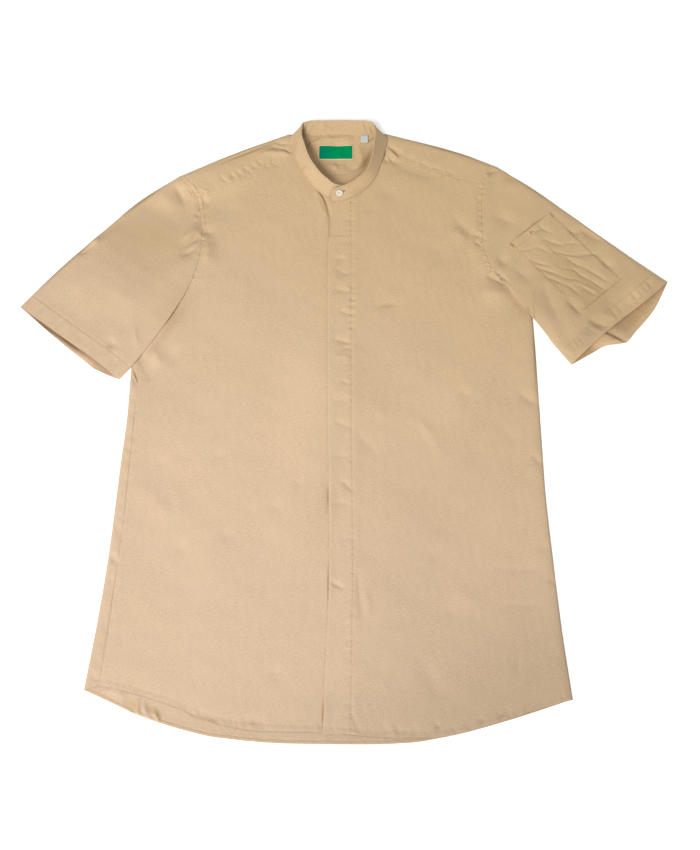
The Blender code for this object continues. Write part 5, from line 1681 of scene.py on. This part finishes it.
# Painted shade: the dark brown of the buttonhole's cut.
SLIT_SHADOW = mottled('slit', (0.20, 0.13, 0.07, 1), (0.12, 0.07, 0.035, 1), 800.0, 0.9)
GREEN = woven('label_weave', (0.001, 0.320, 0.090, 1), (0.0, 0.235, 0.070, 1), worn=(0.0, 0.245, 0.115, 1),
              tone_and_shade_spots=((-32, 382, 0, 24, 16, (1.0, 0.78, 1.30, 1)),), pitch=0.0004, depth=0.00008, roughness=0.9, sheen=0.0, uneven=1.7, specular=0.0)
RIM = woven('label_edge', (0.92, 0.60, 0.43, 1), (0.84, 0.53, 0.37, 1), pitch=0.0005, roughness=0.7)
RIM_THREAD = mottled('rim_thread', (0.90, 0.60, 0.44, 1), (0.80, 0.50, 0.36, 1), 900.0, 0.65, sheen=0.2)
TAPE = woven('tape', (0.60, 0.63, 0.64, 1), (0.46, 0.49, 0.50, 1), worn=(0.48, 0.50, 0.50, 1),
             pitch=0.0005, roughness=0.6)
PEARL = mottled('pearl', (0.74, 0.73, 0.67, 1), (0.58, 0.56, 0.49, 1), 260.0, 0.28, coat=0.4, depth=0.00002)


def build():
    right = front_right()
    left = front_left()
    strip_low = strip('placket_cloth', FRONT_EDGE_Y + 0.3, PLACKET_SEAM_Y - SEAM_GAP, ['placket'])
    strip_high = strip('placket_top_cloth', PLACKET_SEAM_Y, 309.0, ['placket_top'])
    back = back_panel()
    shoulders = yoke()
    sleeves = [sleeve('left', 'sleeve_right_cloth', 'sleeve_right'),
               sleeve('right', 'sleeve_left_cloth', 'sleeve_left')]
    patch_pocket = pocket()
    collar = band_piece()
    rim, field, rim_stitches = label()
    tag = size_tag()
    buttonhole()
    button_thread()
    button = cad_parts['collar_button']
    button.data.materials.clear()
    button.data.materials.append(PEARL)
    body_stitches()
    pocket_stitches()
    band_stitches()
    sleeve_stitches()


def stage():
    bpy.ops.mesh.primitive_plane_add(size=12.0, location=(0, 0, 0))
    floor = bpy.context.object
    floor.name = 'floor'
    made, tree, shader = node_tree('paper')
    shader.inputs['Base Color'].default_value = (0.95, 0.95, 0.95, 1)
    shader.inputs['Emission Color'].default_value = (1.0, 1.0, 1.0, 1)
    shader.inputs['Emission Strength'].default_value = 0.30
    shader.inputs['Roughness'].default_value = 0.9
    floor.data.materials.append(made)
    world = bpy.data.worlds.new('studio')
    bpy.context.scene.world = world
    world.use_nodes = True
    background = world.node_tree.nodes['Background']
    background.inputs[0].default_value = (1.0, 0.985, 0.97, 1)
    background.inputs[1].default_value = 0.50
    lamp = bpy.data.lights.new('key', 'AREA')
    lamp.size = 1.3
    lamp.energy = 11.2
    lamp.spread = math.radians(62)
    made = bpy.data.objects.new('key', lamp)
    bpy.context.scene.collection.objects.link(made)
    made.location = (-0.95, -1.35, 1.95)
    aim = Vector((-0.10, 0.17, 0.0)) - made.location
    made.rotation_euler = aim.to_track_quat('-Z', 'Y').to_euler()
    bpy.context.scene.view_settings.view_transform = 'Standard'


def camera():
    """Looks down at the jacket from its hem side."""
    elevation = math.radians(72.0)
    distance = 1.75
    middle = (CAD_LOW + CAD_HIGH) / 2
    aim = Vector((middle.x + 0.00685, middle.y - 0.01605, 0.0))
    data = bpy.data.cameras.new('camera')
    data.lens = 57.0
    data.sensor_width = 36.0
    made = bpy.data.objects.new('camera', data)
    bpy.context.scene.collection.objects.link(made)
    made.location = aim + Vector((0, -math.cos(elevation), math.sin(elevation))) * distance
    made.rotation_euler = (aim - made.location).to_track_quat('-Z', 'Y').to_euler()
    bpy.context.scene.camera = made


camera()
stage()
build()
